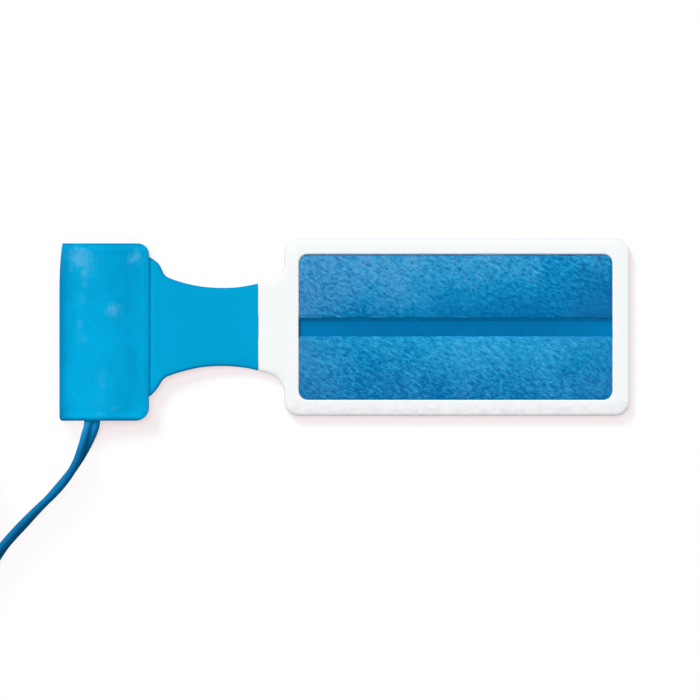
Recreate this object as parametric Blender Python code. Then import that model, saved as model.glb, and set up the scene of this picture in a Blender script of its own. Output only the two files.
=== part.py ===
"""Corded split return electrode, gel side up, in the frame of its pad.

The origin is the middle of the pad's underside. +X runs along the pad, away from the cord end,
and +Z is up. All sizes are real sizes, written in millimetres and kept in metres.
"""

import math

import bmesh
import bpy
from mathutils import Matrix, Vector

MM = 0.001

# Adhesive between two bonded layers. It isn't modelled, so it shows as a gap.
BOND = 0.1 * MM

# Pad outline
PAD_LENGTH = 173.0 * MM
PAD_WIDTH = 89.0 * MM
PAD_CORNER = 7.5 * MM
PAD_FILLET = 10.0 * MM

# Neck outline: a shallow waist between the pad and the tab
WAIST_DISTANCE = 31.0 * MM
WAIST_WIDTH = 39.1 * MM
WAIST_RADIUS = 74.0 * MM
WAIST_SWEEP = math.radians(21.3)

# Tab outline: the hidden end that the sleeve grips
TAB_END_DISTANCE = 90.0 * MM
TAB_WIDTH = 75.2 * MM
TAB_END_CORNER = 4.0 * MM
SHOULDER_RADIUS = 17.0 * MM
SHOULDER_FILLET = 6.5 * MM

# Layers of the pad, from the table up
BACKING_THICKNESS = 1.0 * MM
FILM_THICKNESS = 0.15 * MM
FILM_INSET = 1.0 * MM
FOIL_THICKNESS = 0.1 * MM
BORDER_THICKNESS = 1.2 * MM
GEL_THICKNESS = 0.8 * MM

# Window in the border, and the two gel fields in it
BORDER_SIDE = 7.9 * MM
WINDOW_OFFSET = 0.7 * MM
WINDOW_CORNER = 4.7 * MM
GEL_CLEARANCE = 0.2 * MM
STRIP_WIDTH = 9.4 * MM

# Foil fields under the gel, with a tab each down the neck
FOIL_LAP = 1.5 * MM
FOIL_SETBACK = 1.25 * MM
FOIL_EDGE = 3.05 * MM
FOIL_CORNER = 5.0 * MM

# The border ends on the neck, and the neck cover carries on from there and goes into the sleeve
BORDER_ON_NECK = 12.8 * MM
COVER_JOINT = 0.2 * MM
COVER_LAP = 5.9 * MM

# Folded sleeve, and how far it reaches past the tab on each side
SLEEVE_THICKNESS = 1.0 * MM
SLEEVE_GRIP = 22.4 * MM
SLEEVE_POCKET = 22.25 * MM
SLEEVE_TOP_MARGIN = 4.15 * MM
SLEEVE_BOTTOM_MARGIN = 9.05 * MM
SLEEVE_TOP_CORNER = 5.3 * MM
SLEEVE_BOTTOM_CORNER = 6.5 * MM
FOLD_PULL = 1.5 * MM
FOLD_PULL_LENGTH = 28.0 * MM
DROOP_TOP = 1.2 * MM
DROOP_BOTTOM = 2.0 * MM
EXIT_HUMP = 10.0 * MM

# Crimp clips on the end of the tab
CLIP_THICKNESS = 0.2 * MM
CLIP_WIDTH = 7.0 * MM
CLIP_REACH = 8.0 * MM

# Twin cord
CONDUCTOR_DIAMETER = 3.65 * MM
STRAND_DIAMETER = 1.2 * MM
CORD_FROM_TAB = 5.9 * MM
CORD_GAP = 0.3 * MM

# Ramp in the neck, where the layers climb from the table onto the lower half of the sleeve
RAMP_AFTER_BORDER = 2.7 * MM
RAMP_BEFORE_SLEEVE = 4.1 * MM
RAMP_CREASES = 12

# Coil of the cord that the photograph doesn't show, placed from the cord's exit
COIL_FROM_EXIT = Vector((-103.6 * MM, -31.0 * MM, 0.0))
COIL_DIAMETERS = 10.2
COIL_TURNS_PER_LAYER = 3
COIL_LAYERS = 4
TURN_CLEARANCE = 0.1 * MM

# Twist tie round the coil
TIE_THICKNESS = 0.5 * MM
TIE_WIDTH = 4.0 * MM
TIE_CORNER = 2.5 * MM
TIE_ANGLE = math.radians(45.0)
TIE_TWIST_LENGTH = 14.0 * MM
TIE_TWIST_TURNS = 2.0

# Plug at the end of the cord, placed from the coil
PLUG_ALONG = 36.65 * MM
PLUG_ASIDE = 72.0 * MM
RELIEF_LENGTH = 20.0 * MM
RELIEF_WIDTH = 10.5 * MM
RELIEF_HEIGHT = 7.5 * MM
RELIEF_TAPER = 0.85
RELIEF_RINGS = 5
RELIEF_GROOVE = 0.5 * MM
GRIP_LENGTH = 27.0 * MM
GRIP_WIDTH = 26.0 * MM
GRIP_HEIGHT = 10.0 * MM
GRIP_WAIST = 2.2 * MM
SHELL_SHOULDER = 4.0 * MM
NOSE_LENGTH = 8.0 * MM
NOSE_STEP = 3.0 * MM
NOSE_DROP = 1.2 * MM
NOSE_EDGE = 0.5 * MM
CONTACT_SPACING = 11.0 * MM
CONTACT_LENGTH = 10.0 * MM
CONTACT_DIAMETER = 3.0 * MM
CONTACT_BORE = 2.0 * MM
CONTACT_SET_BACK = 0.6 * MM
KEY_DIAMETER = 3.0 * MM
KEY_LENGTH = 3.0 * MM

# Smoothness of the round forms
CORNER_STEPS = 8
ARC_STEPS = 16
RING_STEPS = 64
SECTION_POINTS = 32

# Places along X that follow from the outline, from the pad's cord end
NECK_X = -PAD_LENGTH / 2
WINDOW_LEFT_X = NECK_X + BORDER_SIDE - WINDOW_OFFSET
WINDOW_RIGHT_X = PAD_LENGTH / 2 - BORDER_SIDE - WINDOW_OFFSET
BORDER_END_X = NECK_X - BORDER_ON_NECK
WAIST_X = NECK_X - WAIST_DISTANCE
TAB_END_X = NECK_X - TAB_END_DISTANCE
SLEEVE_EDGE_X = TAB_END_X + SLEEVE_GRIP
SLEEVE_FOLD_X = TAB_END_X - SLEEVE_POCKET
COVER_END_X = SLEEVE_EDGE_X - COVER_LAP
RAMP_START_X = BORDER_END_X - RAMP_AFTER_BORDER
RAMP_LENGTH = RAMP_START_X - SLEEVE_EDGE_X - RAMP_BEFORE_SLEEVE

# Widths and places along Y that follow too
WINDOW_WIDTH = PAD_WIDTH - 2 * BORDER_SIDE
SLEEVE_TOP_Y = TAB_WIDTH / 2 + SLEEVE_TOP_MARGIN
SLEEVE_BOTTOM_Y = -TAB_WIDTH / 2 - SLEEVE_BOTTOM_MARGIN

# Heights that follow from the layers
FILM_BOTTOM = BACKING_THICKNESS + BOND
FOIL_BOTTOM = FILM_BOTTOM + FILM_THICKNESS + BOND
FACE_BOTTOM = FOIL_BOTTOM + FOIL_THICKNESS + BOND
FACE_TOP = FACE_BOTTOM + BORDER_THICKNESS
TAB_RISE = SLEEVE_THICKNESS + CLIP_THICKNESS + 2 * BOND

# Sizes of the cord that follow from its conductors
LEG_RADIUS = CONDUCTOR_DIAMETER / 2
CORD_WIDTH = 2 * CONDUCTOR_DIAMETER
CORD_RADIUS = CORD_WIDTH / 2
LEG_Z = SLEEVE_THICKNESS + BOND + LEG_RADIUS
TURN_PITCH = CORD_WIDTH + TURN_CLEARANCE
LAYER_PITCH = CONDUCTOR_DIAMETER + TURN_CLEARANCE
COIL_MIDDLE_RADIUS = COIL_DIAMETERS * CORD_WIDTH / 2
COIL_HALF_WIDTH = COIL_TURNS_PER_LAYER * TURN_PITCH / 2
COIL_BOTTOM = TIE_THICKNESS + CORD_GAP
COIL_INNER = COIL_MIDDLE_RADIUS - COIL_HALF_WIDTH
COIL_OUTER = COIL_MIDDLE_RADIUS + COIL_HALF_WIDTH
COIL_TOP = COIL_BOTTOM + COIL_LAYERS * LAYER_PITCH

# Where the cord goes: out of the sleeve, past the outside of the coil, and into the plug
CORD_EXIT = Vector((TAB_END_X - CORD_FROM_TAB, SLEEVE_BOTTOM_Y - CORD_GAP, CORD_RADIUS))
COIL_CENTRE = Vector((CORD_EXIT.x, CORD_EXIT.y, 0.0)) + COIL_FROM_EXIT
COIL_SIDE = COIL_OUTER + CORD_GAP + CORD_RADIUS
PLUG_START = COIL_CENTRE + Vector((PLUG_ALONG - COIL_SIDE, PLUG_ASIDE, GRIP_HEIGHT / 2))
NOSE_WIDTH = GRIP_WIDTH - 2 * NOSE_STEP
NOSE_HEIGHT = GRIP_HEIGHT - 2 * NOSE_DROP

# The middle of each foil tab, which is where its crimp clip sits
FOIL_INNER_Y = STRIP_WIDTH / 2 + FOIL_SETBACK
FOIL_TAB_WIDTH = WAIST_WIDTH / 2 - FOIL_INNER_Y - FOIL_EDGE
FOIL_TAB_Y = FOIL_INNER_Y + FOIL_TAB_WIDTH / 2

COLOURS = {
    "white_foam": (0.90, 0.93, 0.94, 1.0),
    "blue_foam": (0.0, 0.36, 0.67, 1.0),
    "blue_film": (0.0, 0.16, 0.40, 1.0),
    "blue_gel": (0.014, 0.24, 0.53, 1.0),
    "foil": (0.86, 0.87, 0.88, 1.0),
    "clip": (0.72, 0.70, 0.66, 1.0),
    "copper": (0.80, 0.42, 0.24, 1.0),
    "cord_jacket": (0.0, 0.17, 0.45, 1.0),
    "plug_shell": (0.0, 0.17, 0.45, 1.0),
    "contact": (0.78, 0.76, 0.70, 1.0),
    "tie": (0.88, 0.88, 0.86, 1.0),
}
ROUGHNESS = {"foil": 0.25, "clip": 0.35, "copper": 0.35, "contact": 0.25, "cord_jacket": 0.35}
METALS = {"foil", "clip", "copper", "contact"}


def clear_scene():
    for obj in list(bpy.data.objects):
        bpy.data.objects.remove(obj)


def material(name):
    found = bpy.data.materials.get(name)
    if found:
        return found
    made = bpy.data.materials.new(name)
    made.use_nodes = True
    shader = made.node_tree.nodes["Principled BSDF"]
    shader.inputs["Base Color"].default_value = COLOURS[name]
    shader.inputs["Roughness"].default_value = ROUGHNESS.get(name, 0.6)
    shader.inputs["Metallic"].default_value = 1.0 if name in METALS else 0.0
    return made


def add_object(name, data, material_name, location=(0.0, 0.0, 0.0)):
    obj = bpy.data.objects.new(name, data)
    obj.location = location
    obj.data.materials.append(material(material_name))
    bpy.context.scene.collection.objects.link(obj)
    return obj


def mesh_object(name, bm, material_name, smooth_angle=None, location=(0.0, 0.0, 0.0)):
    bmesh.ops.recalc_face_normals(bm, faces=bm.faces)
    mesh = bpy.data.meshes.new(name)
    bm.to_mesh(mesh)
    bm.free()
    if smooth_angle is not None:
        mesh.shade_smooth()
        mesh.set_sharp_from_angle(angle=math.radians(smooth_angle))
    return add_object(name, mesh, material_name, location)


def smoothstep(value):
    share = min(1.0, max(0.0, value))
    return share * share * (3.0 - 2.0 * share)


def rise(x):
    """How far the layers have climbed at this place along the neck."""
    return TAB_RISE * smoothstep((RAMP_START_X - x) / RAMP_LENGTH)


def arc(centre, radius, start, end, steps=CORNER_STEPS):
    """Points on a circle from one angle to another, in radians, both ends included."""
    angles = [start + (end - start) * i / steps for i in range(steps + 1)]
    return [(centre[0] + radius * math.cos(a), centre[1] + radius * math.sin(a)) for a in angles]


def direction(start, end):
    return math.atan2(end[1] - start[1], end[0] - start[0])


def mirrored(points):
    """The same run of points on the other side of the X axis, in the opposite order."""
    return [(x, -y) for x, y in reversed(points)]


def electrode_outline(inset=0.0):
    """Pad, neck and tab as one closed outline of arcs. An inset shrinks corners and grows fillets."""
    half_length = PAD_LENGTH / 2
    corner_y = PAD_WIDTH / 2 - PAD_CORNER
    waist = (WAIST_X, WAIST_WIDTH / 2 + WAIST_RADIUS)
    fillet_x = -half_length - PAD_FILLET
    drop = math.sqrt((WAIST_RADIUS - PAD_FILLET) ** 2 - (fillet_x - WAIST_X) ** 2)
    fillet = (fillet_x, waist[1] - drop)
    sweep = -math.pi / 2 - WAIST_SWEEP
    reach = WAIST_RADIUS - SHOULDER_FILLET
    hollow = (waist[0] + reach * math.cos(sweep), waist[1] + reach * math.sin(sweep))
    shoulder_y = TAB_WIDTH / 2 - SHOULDER_RADIUS
    aside = math.sqrt((SHOULDER_RADIUS + SHOULDER_FILLET) ** 2 - (hollow[1] - shoulder_y) ** 2)
    shoulder = (hollow[0] - aside, shoulder_y)
    tab_corner = (TAB_END_X + TAB_END_CORNER, TAB_WIDTH / 2 - TAB_END_CORNER)
    quarter = math.pi / 2
    upper = arc((half_length - PAD_CORNER, corner_y), PAD_CORNER - inset, 0.0, quarter)
    upper += arc((PAD_CORNER - half_length, corner_y), PAD_CORNER - inset, quarter, math.pi)
    upper += arc(fillet, PAD_FILLET + inset, 0.0, direction(waist, fillet))
    upper += arc(
        waist, WAIST_RADIUS + inset, direction(waist, fillet), direction(waist, hollow), ARC_STEPS
    )[1:-1]
    upper += arc(hollow, SHOULDER_FILLET + inset, direction(waist, hollow), direction(hollow, shoulder))
    upper += arc(shoulder, SHOULDER_RADIUS - inset, direction(shoulder, hollow), quarter)[1:]
    upper += arc(tab_corner, TAB_END_CORNER - inset, quarter, math.pi)
    return upper + mirrored(upper)


def keep_side(points, limit, sign):
    """The part of a closed outline on one side of a line across X: sign 1 keeps what is beyond it."""
    kept = []
    for (x0, y0), (x1, y1) in zip(points, points[1:] + points[:1]):
        if sign * (x0 - limit) >= 0:
            kept.append((x0, y0))
        if (x0 - limit) * (x1 - limit) < 0:
            kept.append((limit, y0 + (y1 - y0) * (limit - x0) / (x1 - x0)))
    return kept


def rounded_rectangle(length, width, corner):
    centre_x, centre_y = length / 2 - corner, width / 2 - corner
    quarter = math.pi / 2
    points = arc((centre_x, centre_y), corner, 0.0, quarter)
    points += arc((-centre_x, centre_y), corner, quarter, 2 * quarter)
    points += arc((-centre_x, -centre_y), corner, 2 * quarter, 3 * quarter)
    points += arc((centre_x, -centre_y), corner, 3 * quarter, 4 * quarter)
    return points


def layer(name, outline, bottom, thickness, material_name, window=None):
    """A die-cut layer: a flat outline, creased where the neck climbs, then given its thickness."""
    bm = bmesh.new()
    edges = []
    for loop in [outline] + ([window] if window else []):
        verts = [bm.verts.new((x, y, bottom)) for x, y in loop]
        edges += [bm.edges.new(pair) for pair in zip(verts, verts[1:] + verts[:1])]
    bmesh.ops.triangle_fill(bm, edges=edges, use_beauty=True)
    for i in range(RAMP_CREASES + 1):
        crease = RAMP_START_X - RAMP_LENGTH * i / RAMP_CREASES
        bmesh.ops.bisect_plane(
            bm,
            geom=bm.verts[:] + bm.edges[:] + bm.faces[:],
            plane_co=(crease, 0.0, 0.0),
            plane_no=(1.0, 0.0, 0.0),
            dist=0.01 * MM,
        )
    for vert in bm.verts:
        vert.co.z += rise(vert.co.x)
    raised = bmesh.ops.extrude_face_region(bm, geom=bm.faces[:])
    top = [item for item in raised["geom"] if isinstance(item, bmesh.types.BMVert)]
    bmesh.ops.translate(bm, verts=top, vec=(0.0, 0.0, thickness))
    return mesh_object(name, bm, material_name)


def foil_outline():
    """The upper foil field, with the tab that runs down the neck to its clip."""
    left = WINDOW_LEFT_X - FOIL_LAP
    right = WINDOW_RIGHT_X + FOIL_LAP
    top = WINDOW_WIDTH / 2 + FOIL_LAP
    quarter = math.pi / 2
    points = [(right, FOIL_INNER_Y)]
    points += arc((right - FOIL_CORNER, top - FOIL_CORNER), FOIL_CORNER, 0.0, quarter)
    points += arc((left + FOIL_CORNER, top - FOIL_CORNER), FOIL_CORNER, quarter, 2 * quarter)
    points += [
        (left, FOIL_INNER_Y + FOIL_TAB_WIDTH),
        (TAB_END_X + FILM_INSET, FOIL_INNER_Y + FOIL_TAB_WIDTH),
        (TAB_END_X + FILM_INSET, FOIL_INNER_Y),
    ]
    return points


def gel_outline():
    """The upper gel field: it fits the window, and ends in a straight edge along the strip."""
    left = WINDOW_LEFT_X + GEL_CLEARANCE
    right = WINDOW_RIGHT_X - GEL_CLEARANCE
    top = WINDOW_WIDTH / 2 - GEL_CLEARANCE
    corner = WINDOW_CORNER - GEL_CLEARANCE
    quarter = math.pi / 2
    points = [(right, STRIP_WIDTH / 2)]
    points += arc((right - corner, top - corner), corner, 0.0, quarter)
    points += arc((left + corner, top - corner), corner, quarter, 2 * quarter)
    points += [(left, STRIP_WIDTH / 2)]
    return points


def build_pad():
    outline = electrode_outline()
    layer("backing_foam", outline, 0.0, BACKING_THICKNESS, "white_foam")
    layer("carrier_film", electrode_outline(FILM_INSET), FILM_BOTTOM, FILM_THICKNESS, "blue_film")
    layer("foil_upper", foil_outline(), FOIL_BOTTOM, FOIL_THICKNESS, "foil")
    layer("foil_lower", mirrored(foil_outline()), FOIL_BOTTOM, FOIL_THICKNESS, "foil")
    layer("gel_upper", gel_outline(), FACE_BOTTOM, GEL_THICKNESS, "blue_gel")
    layer("gel_lower", mirrored(gel_outline()), FACE_BOTTOM, GEL_THICKNESS, "blue_gel")
    border = keep_side(outline, BORDER_END_X, 1)
    window = rounded_rectangle(WINDOW_RIGHT_X - WINDOW_LEFT_X, WINDOW_WIDTH, WINDOW_CORNER)
    window = [(x + (WINDOW_LEFT_X + WINDOW_RIGHT_X) / 2, y) for x, y in window]
    layer("border_foam", border, FACE_BOTTOM, BORDER_THICKNESS, "white_foam", window)
    cover = keep_side(outline, BORDER_END_X - COVER_JOINT, -1)
    cover = keep_side(cover, COVER_END_X, 1)
    layer("neck_cover", cover, FACE_BOTTOM, BORDER_THICKNESS, "blue_foam")


def flap_underside(x, y):
    """Height of the underside of the folded flap. Its two ends droop, apart from the hump over the cord."""
    at_fold = LEG_Z + LEG_RADIUS + 2 * BOND
    at_edge = TAB_RISE + FACE_TOP + BOND
    share = smoothstep((x - TAB_END_X) / (SLEEVE_EDGE_X - TAB_END_X))
    flat = at_fold + (at_edge - at_fold) * share
    tab_y = TAB_WIDTH / 2 + BOND
    top = DROOP_TOP * smoothstep((y - tab_y) / (SLEEVE_TOP_Y - tab_y))
    hump = math.exp(-(((x - CORD_EXIT.x) / EXIT_HUMP) ** 4))
    bottom = DROOP_BOTTOM * smoothstep((-tab_y - y) / (-tab_y - SLEEVE_BOTTOM_Y)) * (1.0 - hump)
    return flat - top - bottom


def corner_cut(y, end, corner, way):
    """How far a rounded corner of the sleeve pulls its edge back at this height."""
    into = corner - way * (end - y)
    return corner - math.sqrt(max(0.0, corner**2 - max(0.0, into) ** 2))


def sleeve_section(y):
    """The closed section of the folded sheet at one place along Y, as (x, z) points."""
    pulled = max(0.0, (y - SLEEVE_TOP_Y + FOLD_PULL_LENGTH) / FOLD_PULL_LENGTH)
    fold_x = SLEEVE_FOLD_X + FOLD_PULL * pulled**3
    edge_x = SLEEVE_EDGE_X - corner_cut(y, SLEEVE_TOP_Y, SLEEVE_TOP_CORNER, 1)
    edge_x -= corner_cut(y, SLEEVE_BOTTOM_Y, SLEEVE_BOTTOM_CORNER, -1)
    bend = (flap_underside(fold_x, y) + SLEEVE_THICKNESS) / 2
    inner = bend - SLEEVE_THICKNESS
    centre_x = fold_x + bend
    steps = ARC_STEPS
    across = [centre_x + (edge_x - centre_x) * i / steps for i in range(steps + 1)]
    lift = flap_underside(centre_x, y) + SLEEVE_THICKNESS - 2 * bend
    over = [(x, flap_underside(x, y) + SLEEVE_THICKNESS) for x in across]
    under = [(x, flap_underside(x, y)) for x in reversed(across)]
    half_turn = math.pi
    outer_bend = arc((centre_x, bend), bend, 1.5 * half_turn, 0.5 * half_turn, steps)
    inner_bend = arc((centre_x, bend), inner, 0.5 * half_turn, 1.5 * half_turn, steps)
    fitted = [(x, z + lift * (z - bend + bend) / (2 * bend)) for x, z in outer_bend]
    fitted_inner = [(x, z + lift * z / (2 * bend)) for x, z in inner_bend]
    floor = [(x, 0.0) for x in reversed(across)]
    top_of_floor = [(x, SLEEVE_THICKNESS) for x in across]
    return floor[:-1] + fitted[:-1] + over + under[:-1] + fitted_inner[:-1] + top_of_floor


def loft(bm, rings, closed_ends=True):
    """Skins a row of rings that have the same number of points, and fills the two end rings."""
    loops = [[bm.verts.new(point) for point in ring] for ring in rings]
    for near, far in zip(loops, loops[1:]):
        for i in range(len(near)):
            j = (i + 1) % len(near)
            bm.faces.new((near[i], near[j], far[j], far[i]))
    if closed_ends:
        bm.faces.new(loops[0])
        bm.faces.new(loops[-1])


def build_sleeve():
    """The folded sheet, lofted along Y, with closer sections round its corners and at its ends."""
    quarter = math.pi / 2
    low = [SLEEVE_BOTTOM_Y + SLEEVE_BOTTOM_CORNER * (1 - math.cos(quarter * i / 8)) for i in range(9)]
    high = [SLEEVE_TOP_Y - SLEEVE_TOP_CORNER * (1 - math.cos(quarter * i / 8)) for i in range(8, -1, -1)]
    between = [low[-1] + (high[0] - low[-1]) * i / ARC_STEPS for i in range(1, ARC_STEPS)]
    bm = bmesh.new()
    loft(bm, [[(x, y, z) for x, z in sleeve_section(y)] for y in low + between + high])
    mesh_object("folded_sleeve", bm, "blue_foam", smooth_angle=35)


def build_clip(name, y):
    """A strip bent round the bare strand, with its two ends closed on the faces of the tab."""
    lower = TAB_RISE - BOND
    upper = TAB_RISE + FOIL_BOTTOM + FOIL_THICKNESS + BOND
    middle = (lower + upper) / 2
    inner = (upper - lower) / 2
    outer = inner + CLIP_THICKNESS
    bend_x = TAB_END_X - BOND - STRAND_DIAMETER / 2
    tip_x = TAB_END_X + CLIP_REACH
    half_turn = math.pi
    profile = [(tip_x, middle - outer)]
    profile += arc((bend_x, middle), outer, 1.5 * half_turn, 0.5 * half_turn, ARC_STEPS)
    profile += [(tip_x, middle + outer), (tip_x, upper)]
    profile += arc((bend_x, middle), inner, 0.5 * half_turn, 1.5 * half_turn, ARC_STEPS)
    profile += [(tip_x, lower)]
    bm = bmesh.new()
    half = CLIP_WIDTH / 2
    loft(bm, [[(x, y + side, z) for x, z in profile] for side in (-half, half)])
    mesh_object(name, bm, "clip", smooth_angle=35)
    return Vector((bend_x, y, middle))


def smooth_route(points, spacing):
    """Points at an even spacing on one smooth curve through the points given."""
    path = [Vector(p) for p in points]
    ends = [2 * path[0] - path[1], *path, 2 * path[-1] - path[-2]]
    fine = [path[0]]
    for a, b, c, d in zip(ends, ends[1:], ends[2:], ends[3:]):
        for i in range(1, ARC_STEPS + 1):
            t = i / ARC_STEPS
            slope_b, slope_c = (c - a) / 2, (d - b) / 2
            fine.append(
                b * (2 * t**3 - 3 * t**2 + 1)
                + slope_b * (t**3 - 2 * t**2 + t)
                + c * (3 * t**2 - 2 * t**3)
                + slope_c * (t**3 - t**2)
            )
    lengths = [0.0]
    for a, b in zip(fine, fine[1:]):
        lengths.append(lengths[-1] + (b - a).length)
    count = max(2, round(lengths[-1] / spacing))
    route, at = [fine[0]], 0
    for i in range(1, count):
        wanted = lengths[-1] * i / count
        while lengths[at + 1] < wanted:
            at += 1
        share = (wanted - lengths[at]) / (lengths[at + 1] - lengths[at])
        route.append(fine[at].lerp(fine[at + 1], share))
    return route + [fine[-1]]


def tube(name, points, radius, material_name, spacing, sides=3):
    """A round tube. Its first and last stretches stay straight, so its ends are square to them."""
    curve = bpy.data.curves.new(name, "CURVE")
    curve.dimensions = "3D"
    curve.bevel_depth = radius
    curve.bevel_resolution = sides
    curve.use_fill_caps = True
    route = [points[0], *smooth_route(points[1:-1], spacing), points[-1]]
    spline = curve.splines.new("POLY")
    spline.points.add(len(route) - 1)
    for point, place in zip(spline.points, route):
        point.co = (*place, 1.0)
    return add_object(name, curve, material_name)


def build_cord_end():
    """Inside the sleeve the twin cord is split. Each leg ends in a bare strand in its clip."""
    start_y = SLEEVE_BOTTOM_Y
    for name, y, side in (("lower", -FOIL_TAB_Y, 1), ("upper", FOIL_TAB_Y, -1)):
        seat = build_clip(f"crimp_{name}", y)
        strip_y = seat.y - CLIP_WIDTH / 2 - 3.0 * MM
        start_x = CORD_EXIT.x + side * (LEG_RADIUS + BOND)
        end_x = TAB_END_X - LEG_RADIUS - 2 * BOND
        leg = [
            (start_x, start_y, LEG_Z),
            (start_x, start_y + 8.0 * MM, LEG_Z),
            (start_x, strip_y - 14.0 * MM, LEG_Z),
            (end_x, strip_y - 2.0 * MM, LEG_Z),
            (end_x, strip_y, LEG_Z),
        ]
        tube(f"cord_leg_{name}", leg, LEG_RADIUS, "cord_jacket", 2.5 * CONDUCTOR_DIAMETER, 2)
        strand = [
            (end_x, strip_y + BOND, LEG_Z),
            (end_x, strip_y + 1.0 * MM, LEG_Z),
            (seat.x, seat.y - CLIP_WIDTH / 2, seat.z),
            (seat.x, seat.y, seat.z),
            (seat.x, seat.y + CLIP_WIDTH / 2 + 1.0 * MM, seat.z),
        ]
        tube(f"strand_{name}", strand, STRAND_DIAMETER / 2, "copper", STRAND_DIAMETER, 2)


# The cord's own points: the first list is measured from its exit, and the others from the coil
FROM_EXIT = [
    (0.0, 0.0),
    (0.0, -2.1),
    (-2.2, -8.5),
    (-4.8, -14.5),
    (-8.0, -20.5),
    (-11.8, -26.5),
    (-16.5, -32.5),
    (-21.9, -38.5),
    (-28.0, -44.5),
    (-33.8, -50.5),
    (-39.4, -56.5),
    (-44.5, -62.5),
]
ROUND_THE_COIL = [(53.0, 12.3), (45.0, 6.1), (35.0, 2.1), (23.0, 0.0), (0.0, 0.0)]
TO_THE_PLUG = [
    (0.0, 0.0, 0.0),
    (0.3, 18.0, 0.0),
    (2.0, 34.0, 0.0),
    (7.8, 52.0, 0.0),
    (13.6, 63.0, 0.0),
    (21.6, 69.4, 0.4),
    (30.6, 72.0, 1.5),
]


def build_cord():
    run = [CORD_EXIT + Vector((x, y, 0.0)) * MM for x, y in FROM_EXIT]
    south = COIL_CENTRE + Vector((0.0, -COIL_SIDE, CORD_RADIUS))
    run += [south + Vector((x, y, 0.0)) * MM for x, y in ROUND_THE_COIL]
    west = COIL_CENTRE + Vector((-COIL_SIDE, 0.0, CORD_RADIUS))
    tail = [west + Vector(offset) * MM for offset in TO_THE_PLUG]
    tail.append(PLUG_START - Vector((CORD_GAP, 0.0, 0.0)))
    tube("cord_run", run, CORD_RADIUS, "cord_jacket", 2.2 * CORD_WIDTH)
    tube("cord_tail", tail, CORD_RADIUS, "cord_jacket", 1.5 * CORD_WIDTH)
    edge = CONDUCTOR_DIAMETER / 2
    half_height = (COIL_TOP - COIL_BOTTOM) / 2
    middle = ((COIL_INNER + COIL_OUTER) / 2, COIL_BOTTOM + half_height)
    section = rounded_rectangle(COIL_OUTER - COIL_INNER, 2 * half_height, edge)
    bm = bmesh.new()
    rings = []
    for i in range(RING_STEPS):
        turn = Matrix.Rotation(2 * math.pi * i / RING_STEPS, 3, "Z")
        rings.append([turn @ Vector((middle[0] + x, 0.0, middle[1] + z)) for x, z in section])
    loft(bm, rings + rings[:1], closed_ends=False)
    bmesh.ops.remove_doubles(bm, verts=bm.verts, dist=0.01 * MM)
    mesh_object("cord_coil", bm, "cord_jacket", smooth_angle=35, location=COIL_CENTRE)


def build_tie():
    """A flat wire tie round the bundle of turns, with its two ends twisted together on top."""
    clear = CORD_GAP
    length = COIL_OUTER - COIL_INNER + 2 * clear
    height = COIL_TOP - COIL_BOTTOM + 2 * clear
    inner = rounded_rectangle(length, height, TIE_CORNER)
    outer = rounded_rectangle(
        length + 2 * TIE_THICKNESS, height + 2 * TIE_THICKNESS, TIE_CORNER + TIE_THICKNESS
    )
    middle_x = (COIL_INNER + COIL_OUTER) / 2
    middle_z = (COIL_TOP + COIL_BOTTOM) / 2
    half = TIE_WIDTH / 2
    bm = bmesh.new()
    rings = []
    for (ax, az), (bx, bz) in zip(outer, inner):
        rings.append(
            [
                (middle_x + ax, -half, middle_z + az),
                (middle_x + ax, half, middle_z + az),
                (middle_x + bx, half, middle_z + bz),
                (middle_x + bx, -half, middle_z + bz),
            ]
        )
    loft(bm, rings + rings[:1], closed_ends=False)
    bmesh.ops.remove_doubles(bm, verts=bm.verts, dist=0.01 * MM)
    band = mesh_object("cord_tie", bm, "tie", location=COIL_CENTRE)
    band.rotation_euler = (0.0, 0.0, TIE_ANGLE)
    twist = bmesh.new()
    start_z = middle_z + height / 2 + TIE_THICKNESS / 2
    axis_z = start_z + half
    sections = []
    steps = 2 * ARC_STEPS
    for i in range(steps + 1):
        share = i / steps
        turn = math.pi / 2 + 2 * math.pi * TIE_TWIST_TURNS * share
        wide = Vector((math.cos(turn), 0.0, math.sin(turn))) * half
        thin = Vector((-math.sin(turn), 0.0, math.cos(turn))) * TIE_THICKNESS
        place = Vector((middle_x, TIE_TWIST_LENGTH * share, axis_z))
        sections.append([place + wide + thin, place - wide + thin, place - wide - thin, place + wide - thin])
    loft(twist, sections)
    cutter = mesh_object("tie_twist", twist, "tie", location=COIL_CENTRE)
    cutter.rotation_euler = band.rotation_euler
    join(band, cutter, "UNION")


def join(obj, tool, operation):
    """Joins or cuts with a helper object, which the build leaves out."""
    tool.hide_render = True
    tool.display_type = "WIRE"
    modifier = obj.modifiers.new(tool.name, "BOOLEAN")
    modifier.operation = operation
    modifier.object = tool
    modifier.solver = "EXACT"


def plug_ring(x, width, height, roundness):
    """One rounded section of the plug: a superellipse, squarer with more roundness power."""
    ring = []
    for i in range(SECTION_POINTS):
        angle = 2 * math.pi * (i + 0.5) / SECTION_POINTS
        c, s = math.cos(angle), math.sin(angle)
        y = math.copysign(abs(c) ** (2 / roundness), c) * width / 2
        z = math.copysign(abs(s) ** (2 / roundness), s) * height / 2
        ring.append((x, y, z))
    return ring


def cylinder(name, radius, start_x, length, y, material_name):
    bm = bmesh.new()
    rings = []
    for x in (start_x, start_x + length):
        rings.append([(x, y + a, b) for a, b in arc((0.0, 0.0), radius, 0.0, 2 * math.pi, 24)[:-1]])
    loft(bm, rings)
    return mesh_object(name, bm, material_name, smooth_angle=35, location=PLUG_START)


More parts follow.
